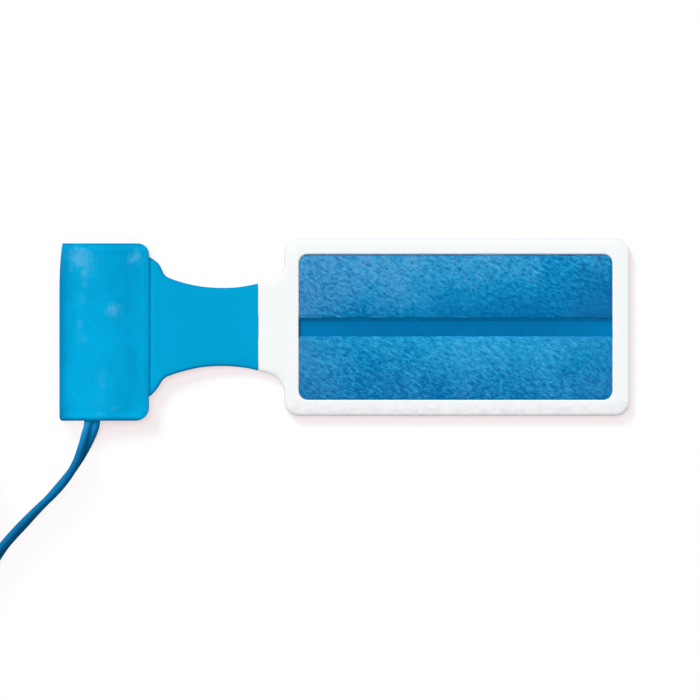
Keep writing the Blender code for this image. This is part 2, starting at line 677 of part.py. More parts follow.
def build_plug():
    """Moulded housing: ringed strain relief, waisted grip and a square nose with two sockets and a key."""
    rings = []
    ring_length = RELIEF_LENGTH / RELIEF_RINGS
    for i in range(RELIEF_RINGS):
        start = i * ring_length
        for share, depth in ((0.0, 1), (0.12, 0), (0.62, 0), (0.74, 1)):
            x = start + share * ring_length
            scale = 1 - RELIEF_TAPER * 0.3 * (1 - x / RELIEF_LENGTH)
            cut = 2 * RELIEF_GROOVE * depth
            rings.append(plug_ring(x, RELIEF_WIDTH * scale - cut, RELIEF_HEIGHT * scale - cut, 2.6))
    grip_start = RELIEF_LENGTH
    for i in range(CORNER_STEPS + 1):
        share = i / CORNER_STEPS
        swell = math.sin(share * math.pi / 2)
        width = RELIEF_WIDTH + (GRIP_WIDTH - RELIEF_WIDTH) * swell
        height = RELIEF_HEIGHT + (GRIP_HEIGHT - RELIEF_HEIGHT) * swell
        rings.append(plug_ring(grip_start + SHELL_SHOULDER * share, width, height, 2.6 + 3.4 * share))
    waist_start = grip_start + SHELL_SHOULDER
    waist_length = GRIP_LENGTH - SHELL_SHOULDER
    for i in range(1, ARC_STEPS + 1):
        share = i / ARC_STEPS
        width = GRIP_WIDTH - 2 * GRIP_WAIST * math.sin(math.pi * share) ** 2
        rings.append(plug_ring(waist_start + waist_length * share, width, GRIP_HEIGHT, 6.0))
    nose_start = waist_start + waist_length
    nose_end = nose_start + NOSE_LENGTH
    face_width = GRIP_WIDTH - 2 * NOSE_EDGE
    face_height = GRIP_HEIGHT - 2 * NOSE_EDGE
    rings.append(plug_ring(nose_start + NOSE_EDGE, face_width, face_height, 6.0))
    rings.append(plug_ring(nose_start + NOSE_EDGE, NOSE_WIDTH, NOSE_HEIGHT, 6.0))
    rings.append(plug_ring(nose_end - NOSE_EDGE, NOSE_WIDTH, NOSE_HEIGHT, 6.0))
    rings.append(plug_ring(nose_end, NOSE_WIDTH - 2 * NOSE_EDGE, NOSE_HEIGHT - 2 * NOSE_EDGE, 6.0))
    bm = bmesh.new()
    loft(bm, rings)
    housing = mesh_object("plug_housing", bm, "plug_shell", smooth_angle=35, location=PLUG_START)
    key = cylinder("plug_key", KEY_DIAMETER / 2, nose_end - KEY_LENGTH, 2 * KEY_LENGTH, 0.0, "plug_shell")
    join(housing, key, "UNION")
    depth = CONTACT_LENGTH + CONTACT_SET_BACK + BOND
    for name, side in (("left", 1), ("right", -1)):
        y = side * CONTACT_SPACING / 2
        bore = cylinder(
            f"socket_{name}", CONTACT_DIAMETER / 2 + BOND, nose_end - depth, 2 * depth, y, "plug_shell"
        )
        join(housing, bore, "DIFFERENCE")
        contact = cylinder(
            f"plug_contact_{name}",
            CONTACT_DIAMETER / 2,
            nose_end - CONTACT_SET_BACK - CONTACT_LENGTH,
            CONTACT_LENGTH,
            y,
            "contact",
        )
        opening = cylinder(
            f"contact_bore_{name}",
            CONTACT_BORE / 2,
            nose_end - CONTACT_SET_BACK - CONTACT_LENGTH + 1.0 * MM,
            2 * CONTACT_LENGTH,
            y,
            "contact",
        )
        join(contact, opening, "DIFFERENCE")


clear_scene()
build_pad()
build_sleeve()
build_cord_end()
build_cord()
build_tie()
build_plug()
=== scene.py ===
import math

import bmesh
import bpy
import numpy
from mathutils import Matrix, Vector, noise


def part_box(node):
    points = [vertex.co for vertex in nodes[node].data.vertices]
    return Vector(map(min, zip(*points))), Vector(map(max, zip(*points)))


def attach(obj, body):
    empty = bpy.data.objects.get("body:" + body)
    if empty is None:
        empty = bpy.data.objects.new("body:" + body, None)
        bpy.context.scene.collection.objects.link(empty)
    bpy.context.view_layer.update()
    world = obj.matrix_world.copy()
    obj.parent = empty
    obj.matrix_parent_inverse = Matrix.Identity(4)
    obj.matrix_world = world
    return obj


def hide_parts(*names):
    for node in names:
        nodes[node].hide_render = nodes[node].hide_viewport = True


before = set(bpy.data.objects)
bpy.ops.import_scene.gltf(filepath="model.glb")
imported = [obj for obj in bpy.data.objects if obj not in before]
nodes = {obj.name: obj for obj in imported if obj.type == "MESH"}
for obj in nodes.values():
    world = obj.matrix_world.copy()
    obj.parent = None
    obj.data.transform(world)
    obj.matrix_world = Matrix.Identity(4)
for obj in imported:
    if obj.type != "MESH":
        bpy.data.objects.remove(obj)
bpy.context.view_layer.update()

mm = 0.001


def putInScene(made):
    bpy.context.scene.collection.objects.link(made)


# camera: straight down on the pad, with a long lens
camera = {
    "field": 350.0 * mm,
    "lookAt": (-53.5 * mm, -11.5 * mm),
    "height": 2.5 * mm,
    "lens": 200.0,
    "sensor": 36.0,
    "clip": (0.01, 20.0),
}


def placeCamera():
    data = bpy.data.cameras.new("camera")
    data.lens, data.sensor_width = camera["lens"], camera["sensor"]
    data.clip_start, data.clip_end = camera["clip"]
    made = bpy.data.objects.new("camera", data)
    distance = camera["field"] * camera["lens"] / camera["sensor"]
    made.location = (*camera["lookAt"], distance + camera["height"])
    putInScene(made)
    bpy.context.scene.camera = made


# small tools for meshes
def newObject(name, data, materials):
    made = bpy.data.objects.new(name, data)
    for item in materials:
        data.materials.append(item)
    putInScene(made)
    return made


def finishMesh(name, bm, materials, smoothAngle=40.0):
    bmesh.ops.recalc_face_normals(bm, faces=bm.faces)
    mesh = bpy.data.meshes.new(name)
    bm.to_mesh(mesh)
    bm.free()
    mesh.shade_smooth()
    mesh.set_sharp_from_angle(angle=math.radians(smoothAngle))
    return newObject(name, mesh, materials)


def linkLoops(bm, loops):
    for near, far in zip(loops, loops[1:]):
        for i in range(len(near)):
            j = (i + 1) % len(near)
            bm.faces.new((near[i], near[j], far[j], far[i]))


def smoothStep(value):
    share = min(1.0, max(0.0, value))
    return share * share * (3.0 - 2.0 * share)


def blend(near, far, share):
    return [a + (b - a) * share for a, b in zip(near, far)]


def fractal(x, y, z):
    return noise.fractal(Vector((x, y, z)), 1.0, 2.0, 3)


# a soft rim: how it falls away from its edge, and how strongly its material is marked for painted
# shade
softRim = {"power": 1.5, "mark": 1.6}


def fade(distance, width):
    return max(0.0, 1.0 - distance / width)


def rimFall(distance, width):
    return fade(distance, width) ** softRim["power"]


def rimMark(distance, width):
    return min(1.0, softRim["mark"] * fade(distance, width))


def settle(piece, slotName, *replaced):
    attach(piece, "root")
    if replaced:
        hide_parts(*replaced)


# small tools for node materials
class NodeTree:
    def __init__(self, tree, values=None):
        self.tree = tree
        self.values = values
        self.column = 0

    def plug(self, value, socket):
        if isinstance(value, bpy.types.NodeSocket):
            self.tree.links.new(value, socket)
        else:
            socket.default_value = value

    def add(self, kind, inputs=None, **settings):
        made = self.tree.nodes.new(kind)
        self.column += 1
        made.location = (self.column * 180, 0)
        for key, value in settings.items():
            setattr(made, key, value)
        for key, value in (inputs or {}).items():
            self.plug(value, made.inputs[key])
        return made

    def group(self, tree, inputs):
        return self.add("ShaderNodeGroup", inputs, node_tree=tree).outputs

    def math(self, operation, first, second=0.5, clamp=False):
        inputs = {0: first, 1: second}
        return self.add("ShaderNodeMath", inputs, operation=operation, use_clamp=clamp).outputs[0]

    def vectorMath(self, operation, *values):
        inputs = dict(enumerate(values))
        return self.add("ShaderNodeVectorMath", inputs, operation=operation).outputs

    def plus(self, total, *values):
        for value in values:
            total = self.math("ADD", total, value)
        return total

    def times(self, product, *values):
        for value in values:
            product = self.math("MULTIPLY", product, value)
        return product

    def centred(self, value):
        return self.math("SUBTRACT", value, 0.5)

    def mix(self, share, first, second):
        inputs = {0: share, 6: first, 7: second}
        return self.add("ShaderNodeMix", inputs, data_type="RGBA").outputs[2]

    def spread(self, value, low, high, toLow=0.0, toHigh=1.0):
        inputs = {"Value": value, "From Min": low, "From Max": high}
        inputs |= {"To Min": toLow, "To Max": toHigh}
        return self.add("ShaderNodeMapRange", inputs, clamp=True).outputs[0]

    def over(self, value, *keys):
        return self.spread(value, *[number for key in keys for number in self.values[key]])

    def noise(self, place, scale, detail=3.0, roughness=0.5, distortion=0.0):
        inputs = {"Vector": place, "Scale": scale, "Detail": detail, "Roughness": roughness}
        inputs["Distortion"] = distortion
        return self.add("ShaderNodeTexNoise", inputs).outputs["Fac"]

    def sides(self, place):
        parts = self.add("ShaderNodeSeparateXYZ", {"Vector": place}).outputs
        return parts["X"], parts["Y"]


socketKinds = {1: "NodeSocketFloat", 3: "NodeSocketVector", 4: "NodeSocketColor"}
white = (1.0, 1.0, 1.0, 1.0)


def startGroup(name, inputs):
    tree = bpy.data.node_groups.new(name, "ShaderNodeTree")
    for socketName, value in inputs.items():
        kind = socketKinds[len(value) if isinstance(value, tuple) else 1]
        socket = tree.interface.new_socket(name=socketName, in_out="INPUT", socket_type=kind)
        socket.default_value = value
    pen = NodeTree(tree)
    return pen, pen.add("NodeGroupInput").outputs


def finishGroup(pen, outputs):
    for socketName, value in outputs.items():
        kind = socketKinds[4 if value.type == "RGBA" else 1]
        pen.tree.interface.new_socket(name=socketName, in_out="OUTPUT", socket_type=kind)
    pen.add("NodeGroupOutput", outputs)
    return pen.tree


shaderSockets = {"roughness": "Roughness", "metallic": "Metallic", "specular": "Specular IOR Level"}


def startMaterial(name, values):
    made = bpy.data.materials.new(name)
    made.use_nodes = True
    shader = made.node_tree.nodes["Principled BSDF"]
    for key, socket in shaderSockets.items():
        if key in values:
            shader.inputs[socket].default_value = values[key]
    pen = NodeTree(made.node_tree, values)
    place = pen.add("ShaderNodeTexCoord").outputs["Object"]
    return made, shader, pen, place


def finishMaterial(pen, shader, colour, height):
    relief = {"Distance": pen.values["relief"], "Strength": pen.values["bump"]}
    bump = pen.add("ShaderNodeBump", {"Height": height, **relief})
    pen.plug(colour, shader.inputs["Base Color"])
    pen.plug(bump.outputs["Normal"], shader.inputs["Normal"])


# shared effect: the fine closed cells of pressed foam, with a slow unevenness
foamPattern = {"fineScale": 1.7, "fineHeight": 0.6, "slowScale": 70.0, "slowShare": 0.7}


def buildFoamCells():
    pen, given = startGroup("foamCells", {"Place": (0.0, 0.0, 0.0), "Cell Size": 0.5 * mm})
    place, frequency = given["Place"], pen.math("DIVIDE", 1.0, given["Cell Size"])
    inputs = {"Vector": place, "Scale": frequency}
    cells = pen.add("ShaderNodeTexVoronoi", inputs, feature="SMOOTH_F1")
    fine = pen.noise(place, pen.times(frequency, foamPattern["fineScale"]), detail=2.0)
    slow = pen.noise(place, foamPattern["slowScale"], roughness=0.55)
    height = pen.plus(cells.outputs["Distance"], pen.times(fine, foamPattern["fineHeight"]))
    share = foamPattern["slowShare"]
    mottle = pen.plus(pen.times(slow, share), pen.times(fine, 1.0 - share))
    return finishGroup(pen, {"Height": height, "Mottle": mottle})


# shared effect: a ragged soft spot at a place, 1 in its middle and 0 outside
spotEdge = {"tearScale": 330.0, "tearReach": 4.0, "end": 1.1, "falloff": 1.3}


def buildSoftSpot():
    inputs = {"Place": (0.0, 0.0, 0.0), "Centre": (0.0, 0.0, 0.0), "Spread": (100.0, 100.0, 0.0)}
    pen, given = startGroup("softSpot", {**inputs, "Ragged": 0.5})
    away = pen.vectorMath("SUBTRACT", given["Place"], given["Centre"])[0]
    length = pen.vectorMath("LENGTH", pen.vectorMath("MULTIPLY", away, given["Spread"])[0])["Value"]
    rough = pen.noise(given["Place"], spotEdge["tearScale"], detail=5.0, roughness=0.75)
    torn = pen.times(pen.centred(rough), given["Ragged"], spotEdge["tearReach"])
    mask = pen.spread(pen.plus(length, torn), 0.0, spotEdge["end"], 1.0, 0.0)
    return finishGroup(pen, {"Mask": pen.math("POWER", mask, spotEdge["falloff"])})


# shared effect: short slanting strokes, as on a gel that was poured on a web
strokePattern = {"distortion": 0.6, "grainScale": 2.6, "grainShare": 0.25}


def buildStrokes():
    inputs = {"Place": (0.0, 0.0, 0.0), "Turn": 0.0, "Length": 2.0 * mm, "Width": 1.0 * mm}
    pen, given = startGroup("strokes", inputs)
    around = {"Vector": given["Place"], "Angle": given["Turn"]}
    turned = pen.add("ShaderNodeVectorRotate", around, rotation_type="Z_AXIS").outputs["Vector"]
    along = pen.math("DIVIDE", 1.0, given["Length"])
    across = pen.math("DIVIDE", 1.0, given["Width"])
    size = pen.add("ShaderNodeCombineXYZ", {"X": along, "Y": across, "Z": across}).outputs["Vector"]
    scaled = pen.vectorMath("MULTIPLY", turned, size)[0]
    strokes = pen.noise(scaled, 1.0, 2.0, 0.6, strokePattern["distortion"])
    grain = pen.noise(scaled, strokePattern["grainScale"], 2.0, 0.6)
    share = strokePattern["grainShare"]
    mixed = pen.plus(pen.times(strokes, 1.0 - share), pen.times(grain, share))
    return finishGroup(pen, {"Strokes": strokes, "Mixed": mixed})


# shared effect: painted shade along the softened edges, which the meshes mark as rim: a darker
# colour where the rims turn from the light
def buildPaintedRimShade():
    pen, given = startGroup("paintedRimShade", {"Colour": white, "Rim Colour": white, "Share": 0.4})
    rim = pen.add("ShaderNodeAttribute", attribute_name="rim").outputs["Fac"]
    share = pen.times(rim, given["Share"])
    return finishGroup(pen, {"Colour": pen.mix(share, given["Colour"], given["Rim Colour"])})


# shared effect: soft plastic with slow clouds of colour and a fine moulded grain
mouldPattern = {"cloudScale": 90.0, "cloud": (0.35, 0.65), "rougher": (0.3, 0.7, -0.05, 0.08)}


def buildMouldedGrain():
    inputs = {"Place": (0.0, 0.0, 0.0), "Grain Size": 0.5 * mm, "Roughness": 0.4}
    pen, given = startGroup("mouldedGrain", inputs)
    cloud = pen.noise(given["Place"], mouldPattern["cloudScale"], detail=2.0)
    grain = pen.noise(given["Place"], pen.math("DIVIDE", 1.0, given["Grain Size"]), 2.0, 0.6)
    rough = pen.plus(given["Roughness"], pen.spread(grain, *mouldPattern["rougher"]))
    cloud = pen.spread(cloud, *mouldPattern["cloud"])
    return finishGroup(pen, {"Cloud": cloud, "Roughness": rough, "Height": grain})


# shared effect: metal brushed in one direction
brushPattern = {"stretch": (1.0, 0.08, 1.0), "lines": (0.3, 0.7), "rougher": (0.3, 0.7, -0.06, 0.1)}


def buildBrushed():
    inputs = {"Place": (0.0, 0.0, 0.0), "Lines": 1000.0, "Roughness": 0.3}
    pen, given = startGroup("brushed", inputs)
    stretch = {"Vector": given["Place"], "Scale": brushPattern["stretch"]}
    stretched = pen.add("ShaderNodeMapping", stretch).outputs[0]
    lines = pen.noise(stretched, given["Lines"], roughness=0.6)
    rough = pen.plus(given["Roughness"], pen.spread(lines, *brushPattern["rougher"]))
    share = pen.spread(lines, *brushPattern["lines"])
    return finishGroup(pen, {"Share": share, "Roughness": rough, "Height": lines})


foamCells = buildFoamCells()
softSpot = buildSoftSpot()
strokes = buildStrokes()
paintedRimShade = buildPaintedRimShade()
mouldedGrain = buildMouldedGrain()
brushed = buildBrushed()


# blue foam of the neck and the sleeve, with pale rubbed places on the sleeve; painted shade on the
# sleeve's fold, edges and rims, and painted light on the neck beside the flap
blueFoam = {
    "neckColour": (0.0, 0.365, 0.675, 1.0),
    "neckDeep": (0.0, 0.345, 0.645, 1.0),
    "sleeveColour": (0.0, 0.438, 0.784, 1.0),
    "sleeveDeep": (0.0, 0.312, 0.608, 1.0),
    "tabColour": (0.0, 0.414, 0.748, 1.0),
    "neckPale": (-18.0 * mm, -34.0 * mm),
    # painted light on the neck beside the flap's edge, which lightens the flap's shadow there
    "paintedLightNearFlap": (0.0, 0.460, 0.830, 1.0),
    # crease: the colour of the painted shade at the fold's turn and along the rims
    "crease": (0.0, 0.130, 0.320, 1.0),
    "rubbed": (0.075, 0.440, 0.750, 1.0),
    "cell": 0.45 * mm,
    "relief": 0.05 * mm,
    "bump": 0.35,
    "roughness": 0.7,
    "specular": 0.02,
    "neckMottle": (0.35, 0.65, 0.25, 0.0),
    "sleeveMottle": (0.35, 0.65, 0.42, 0.0),
    "grain": 1.5 * mm,
    "sleeveGrain": (0.36, 0.64, 0.26, 0.0),
    "wandering": 12.0 * mm,
    "wanderingScale": 45.0,
    # painted shade: the fold, the right and upper parts of the flap and its top end darker where
    # they turn from the light; the lip takes some of it off inside the right edge
    "foldShade": (-199.5 * mm, -190.0 * mm, 1.0, 0.0),  # from and to, and how strong it is at each
    "foldShadeEnd": (-40.0 * mm, -20.0 * mm, 0.55, 1.0),
    "foldCrease": (-199.2 * mm, -194.4 * mm, 1.0, 0.0),
    "foldCreaseShare": 0.9,
    "foldCreasePower": 1.3,
    "edgeShade": (-177.0 * mm, -165.0 * mm, 0.0, 0.48),
    "edgeShadeEnd": (-42.0 * mm, -37.0 * mm, 0.0, 1.0),
    "upperShade": (-188.0 * mm, -176.0 * mm, 0.0, 0.40),
    "upperShadeEnd": (9.0 * mm, 17.0 * mm, 0.0, 1.0),
    "topShade": (34.0 * mm, 42.0 * mm, 0.0, 0.3),
    "lip": (-164.0 * mm, -160.0 * mm, 0.0, 0.2),
    "paintedLightBesideFlap": (-154.4 * mm, -151.0 * mm, 1.0, 0.0),
    "rimShade": 0.42,
    "speck": 0.55 * mm,
    "specks": (0.38, 0.60, 0.4, 1.1),
    "ragged": 0.9,
    "spotHeight": 5.0 * mm,
    "rubbedPlaces": [  # x, y, half width, half height in mm, and how pale
        (-188.0, 34.2, 7.4, 6.2, 1.0),
        (-188.6, 35.2, 5.0, 4.6, 1.0),
        (-185.2, 28.6, 4.0, 5.0, 0.95),
        (-186.2, 22.4, 2.6, 4.0, 0.32),
        (-187.0, 14.4, 2.2, 4.2, 0.3),
        (-171.8, 8.6, 3.6, 3.6, 1.0),
        (-171.8, 8.6, 2.0, 2.0, 0.9),
        (-171.0, 7.4, 6.4, 5.0, 0.16),
        (-161.4, 34.0, 4.4, 3.4, 1.0),
        (-160.0, 37.4, 2.6, 2.6, 0.45),
        (-188.2, 0.6, 2.2, 5.0, 0.3),
        (-186.6, -6.0, 2.8, 3.2, 0.25),
        (-177.4, -25.2, 3.0, 5.0, 0.32),
        (-179.2, -36.0, 4.6, 4.6, 0.12),
        (-179.0, -43.2, 3.0, 1.4, 0.4),
        (-171.6, -40.6, 1.8, 1.8, 0.25),
    ],
}


def shadeSleeve(pen, place, x, y, mottle):
    slow = pen.centred(pen.noise(place, blueFoam["wanderingScale"], detail=2.0))
    x = pen.plus(x, pen.times(slow, blueFoam["wandering"]))

    def shadeOf(key):
        return pen.times(pen.over(x, key), pen.over(y, key + "End"))

    edge = pen.math("MAXIMUM", shadeOf("edgeShade"), shadeOf("upperShade"))
    edge = pen.math("SUBTRACT", edge, pen.over(x, "lip"))
    grain = pen.noise(place, 1.0 / blueFoam["grain"], roughness=0.6)
    shade = pen.plus(
        pen.over(mottle, "sleeveMottle"),
        pen.over(grain, "sleeveGrain"),
        pen.over(y, "topShade"),
    )
    return pen.math("ADD", shade, pen.plus(shadeOf("foldShade"), edge), True)


def shadeCreaseAndRubSleeve(pen, place, x, tint):
    # painted shade where the fold turns down at the left edge
    crease = pen.math("POWER", pen.over(x, "foldCrease"), blueFoam["foldCreasePower"])
    tint = pen.mix(pen.times(crease, blueFoam["foldCreaseShare"]), tint, blueFoam["crease"])
    specks = pen.noise(place, 1.0 / blueFoam["speck"], roughness=0.7)
    specks = pen.over(specks, "specks")
    for left, up, wide, tall, pale in blueFoam["rubbedPlaces"]:
        spot = {
            "Place": place,
            "Centre": (left * mm, up * mm, blueFoam["spotHeight"]),
            "Spread": (1.0 / (wide * mm), 1.0 / (tall * mm), 0.0),
            "Ragged": blueFoam["ragged"],
        }
        share = pen.times(pen.group(softSpot, spot)["Mask"], pale, specks)
        tint = pen.mix(share, tint, blueFoam["rubbed"])
    return tint


def buildBlueFoam(name, colour, deep, onSleeve):
    made, shader, pen, place = startMaterial(name, blueFoam)
    cells = pen.group(foamCells, {"Place": place, "Cell Size": blueFoam["cell"]})
    x, y = pen.sides(place)
    if onSleeve:
        shade = shadeSleeve(pen, place, x, y, cells["Mottle"])
    else:
        shade = pen.over(cells["Mottle"], "neckMottle")
        colour = pen.mix(pen.over(y, "neckPale"), colour, blueFoam["tabColour"])
        # painted light beside the flap's edge, over the flap's shadow
        colour = pen.mix(pen.over(x, "paintedLightBesideFlap"), colour, blueFoam["paintedLightNearFlap"])
    tint = {"Colour": pen.mix(shade, colour, deep), "Rim Colour": blueFoam["crease"]}
    tint = pen.group(paintedRimShade, {**tint, "Share": blueFoam["rimShade"]})["Colour"]
    if onSleeve:
        tint = shadeCreaseAndRubSleeve(pen, place, x, tint)
    finishMaterial(pen, shader, tint, cells["Height"])
    return made


# white foam of the backing and the border, with painted shade along its rims
whiteFoam = {
    "colour": (0.925, 0.950, 0.950, 1.0),
    "shade": (0.79, 0.775, 0.83, 1.0),
    # rim: the colour of the painted shade along the rims
    "rim": (0.72, 0.70, 0.76, 1.0),
    "rimShade": 0.38,
    "rimAtRight": (82.0 * mm, 85.0 * mm, 0.0, -0.36),  # where its shade changes, and by how much
    "rimTowards": (-0.6, 0.8, 0.0),  # the side towards the light, where the rims take more painted shade against their highlight
    "rimShadeTowardsLight": (0.0, 0.2, 0.0, 0.62),
    "blotches": (0.36, 0.68),
    "blotchStretch": (0.45, 1.0, 1.0),
    "blotchFrom": (-35.5 * mm, -41.0 * mm, 0.12, 1.0),
    "mottled": {"backingFoam": 0.3, "borderFoam": 0.9},
    "cell": 0.6 * mm,
    "relief": 0.05 * mm,
    "bump": 0.3,
    "mottle": 1.9 * mm,
    "roughness": 0.7,
    "specular": 0.06,
}


def buildWhiteFoam(name):
    made, shader, pen, place = startMaterial(name, whiteFoam)
    cells = pen.group(foamCells, {"Place": place, "Cell Size": whiteFoam["cell"]})
    x, y = pen.sides(place)
    stretch = {"Vector": place, "Scale": whiteFoam["blotchStretch"]}
    stretched = pen.add("ShaderNodeMapping", stretch).outputs[0]
    blotches = pen.noise(stretched, 1.0 / whiteFoam["mottle"], detail=4.0, roughness=0.7)
    mottled = whiteFoam["mottled"][name]
    blotches = pen.spread(blotches, *whiteFoam["blotches"], 0.0, mottled)
    share = pen.times(blotches, pen.over(y, "blotchFrom"))
    tint = pen.mix(share, whiteFoam["colour"], whiteFoam["shade"])
    normal = pen.add("ShaderNodeNewGeometry").outputs["Normal"]
    towards = pen.vectorMath("DOT_PRODUCT", normal, whiteFoam["rimTowards"])["Value"]
    atRight = pen.over(x, "rimAtRight")
    rimShade = pen.plus(whiteFoam["rimShade"], atRight, pen.over(towards, "rimShadeTowardsLight"))
    tint = {"Colour": tint, "Rim Colour": whiteFoam["rim"], "Share": rimShade}
    tint = pen.group(paintedRimShade, tint)["Colour"]
    finishMaterial(pen, shader, tint, cells["Height"])
    return made


# blue gel fields, each with painted light and shade: paler at the upper edge, which the dome turns
# to the light, deeper at the lower one
gel = {
    "deep": (0.0, 0.140, 0.375, 1.0),
    "pale": (0.012, 0.370, 0.690, 1.0),
    # speck: painted highlight on the palest specks, where the strokes run highest
    "speck": (0.10, 0.45, 0.77, 1.0),
    "veil": (0.036, 0.200, 0.430, 1.0),
    "mist": (0.115, 0.300, 0.580, 1.0),
    "roughness": 0.4,
    "specular": 0.02,
    "turn": math.radians(27.0),
    "strokeLength": 2.6 * mm,
    "strokeWidth": 1.35 * mm,
    "contrast": 4.6,
    "relief": 0.28 * mm,
    "bump": 0.8,
    "lump": 0.10 * mm,
    "lumpScale": 420.0,
    "lumpSeed": 4.0,
    "lumpReach": 1.5 * mm,
    "wave": 0.35 * mm,
    "waveScale": 160.0,
    "waveSeeds": (9.0, 0.5),
    "waveReach": 2.0 * mm,
    "corner": 4.5 * mm,
    "insets": (0.12 * mm, 0.3 * mm, 0.6 * mm),
    "strongReach": 60.0 * mm,
    "endsFrom": (20.0 * mm, 78.0 * mm),
    "middle": 0.05,
    "slowScale": 30.0,
    "slowLevel": 0.3,
    "slowShift": 30.0 * mm,
    "slowMist": 0.45,
    "paintedHighlightFrom": (0.85, 1.6, 0.0, 0.9),
    "veilFrom": (52.0 * mm, 84.0 * mm),
    "veilClouds": (-0.15, 0.15, 0.1, 0.6),
    "strokeEdges": (0.38, 0.62),
    "veilByStroke": (0.6, 0.95),  # the share of each between two strokes and on a stroke
    "mistByStroke": (0.3, 1.6),
    "patch": 3.2 * mm,
    "mistByPatch": (0.36, 0.64, 0.55, 1.4),
    "rim": 1.5 * mm,
    "rimDrop": 0.25 * mm,
    "stripDrop": 0.09 * mm,  # more along the strip
    "cell": 0.9 * mm,
    "fields": {
        "upperGel": {
            "level": (0.14, 0.76),  # painted light and shade: how pale it is at its lower edge, turned from the light, and at its upper one
            "leftToRight": -0.30,
            "ends": (-0.10, -0.10),  # how its two ends change, at its lower and its upper edge
            "strength": (1.0, 0.3, 1.05),  # of the strokes: lower left, lower right, upper edge
            "mist": (0.09, 0.52, -0.46),  # at the lower and upper left, and its change to the right
            "rimShade": (0.0, 0.65),  # at its lower and its upper edge
            "paintedLightAtLowerRim": 0.32,  # painted light along its lower edge, where its rim turns from the light
        },
        "lowerGel": {
            "level": (0.05, 0.76),
            "leftToRight": 0.02,
            "ends": (0.14, -0.20),
            "strength": (0.88, 0.82, 0.66),
            "mist": (0.10, 0.08, -0.06),
            "rimShade": (0.3, 0.4),
            "paintedLightAtLowerRim": 0.0,
        },
    },
}


def useStrokes(pen, place):
    size = {"Length": gel["strokeLength"], "Width": gel["strokeWidth"]}
    return pen.group(strokes, {"Place": place, "Turn": gel["turn"], **size})


def buildGelMaterial(name, low, high):
    made, shader, pen, place = startMaterial(name, gel)
    field = gel["fields"][name]
    mixed = useStrokes(pen, place)["Mixed"]
    x, fixedY = pen.sides(place)
    slow = pen.centred(pen.noise(place, gel["slowScale"], roughness=0.6))
    y = pen.plus(fixedY, pen.times(slow, gel["slowShift"]))
    away = pen.math("ABSOLUTE", pen.math("SUBTRACT", x, (low.x + high.x) / 2))

    def upwards(atLow, atHigh):
        return pen.spread(y, low.y, high.y, atLow, atHigh)

    strongLeft, strongRight, strongHigh = field["strength"]
    strongLow = pen.spread(x, low.x, low.x + gel["strongReach"], strongLeft, strongRight)
    stroke = pen.times(pen.centred(mixed), upwards(strongLow, strongHigh))
    change = field["leftToRight"] / 2
    level = pen.plus(
        upwards(*field["level"]),
        pen.spread(x, low.x, high.x, -change, change),
        pen.spread(away, *gel["endsFrom"], gel["middle"], upwards(*field["ends"])),
        pen.times(slow, gel["slowLevel"]),
        pen.spread(fixedY, low.y, low.y + gel["rim"], field["paintedLightAtLowerRim"], 0.0),
        pen.times(stroke, gel["contrast"]),
    )
    share = pen.math("MAXIMUM", pen.math("MINIMUM", level, 1.0), 0.0)
    tint = pen.mix(share, gel["deep"], gel["pale"])
    # painted highlight on the palest specks
    tint = pen.mix(pen.over(level, "paintedHighlightFrom"), tint, gel["speck"])
    veil = pen.times(
        pen.over(away, "veilFrom"),
        pen.over(slow, "veilClouds"),
        pen.over(mixed, "strokeEdges", "veilByStroke"),
    )
    tint = pen.mix(veil, tint, gel["veil"])
    mistLow, mistHigh, mistChange = field["mist"]
    mist = pen.plus(upwards(mistLow, mistHigh), pen.spread(x, low.x, high.x, 0.0, mistChange))
    mist = pen.math("ADD", mist, pen.times(slow, gel["slowMist"]), True)
    mist = pen.times(mist, pen.over(mixed, "strokeEdges", "mistByStroke"))
    patches = pen.noise(place, 1.0 / gel["patch"], detail=2.0, roughness=0.6)
    mist = pen.math("MULTIPLY", mist, pen.over(patches, "mistByPatch"), True)
    tint = pen.mix(mist, tint, gel["mist"])
    shadeLow, shadeHigh = field["rimShade"]
    atRim = pen.math(
        "MAXIMUM",
        pen.spread(fixedY, low.y, low.y + gel["rim"], shadeLow, 0.0),
        pen.spread(fixedY, high.y - gel["rim"], high.y, 0.0, shadeHigh),
    )
    tint = pen.mix(atRim, tint, gel["deep"])
    finishMaterial(pen, shader, tint, stroke)
    return made


# blue film in the strip between the gel fields, with painted shadow below the upper gel's edge and
# painted light right at it
film = {
    "colour": (0.0, 0.172, 0.420, 1.0),
    "shade": (0.0, 0.150, 0.384, 1.0),
    "atEnds": (0.0, 0.192, 0.452, 1.0),
    "atEndsFrom": (42.0 * mm, 74.0 * mm),  # away from its middle
    "upperShade": (0.0, 0.142, 0.365, 1.0),
    "upperShadeFrom": (-5.2 * mm, -1.2 * mm, 0.0, 0.85),  # below the upper gel's edge
    # painted light on the film right below the upper gel's edge, which lightens that gel's shadow
    "paintedLightBelowGel": (0.0, 0.240, 0.590, 1.0),
    "paintedLightBelowGelFrom": (-1.3 * mm, -0.4 * mm, 0.0, 1.0),
    "clouds": (0.38, 0.62),
    "cloudScale": 160.0,
    "strokeShare": 0.5,
    "relief": 0.1 * mm,
    "bump": 0.3,
    "roughness": 0.5,
    "specular": 0.02,
}


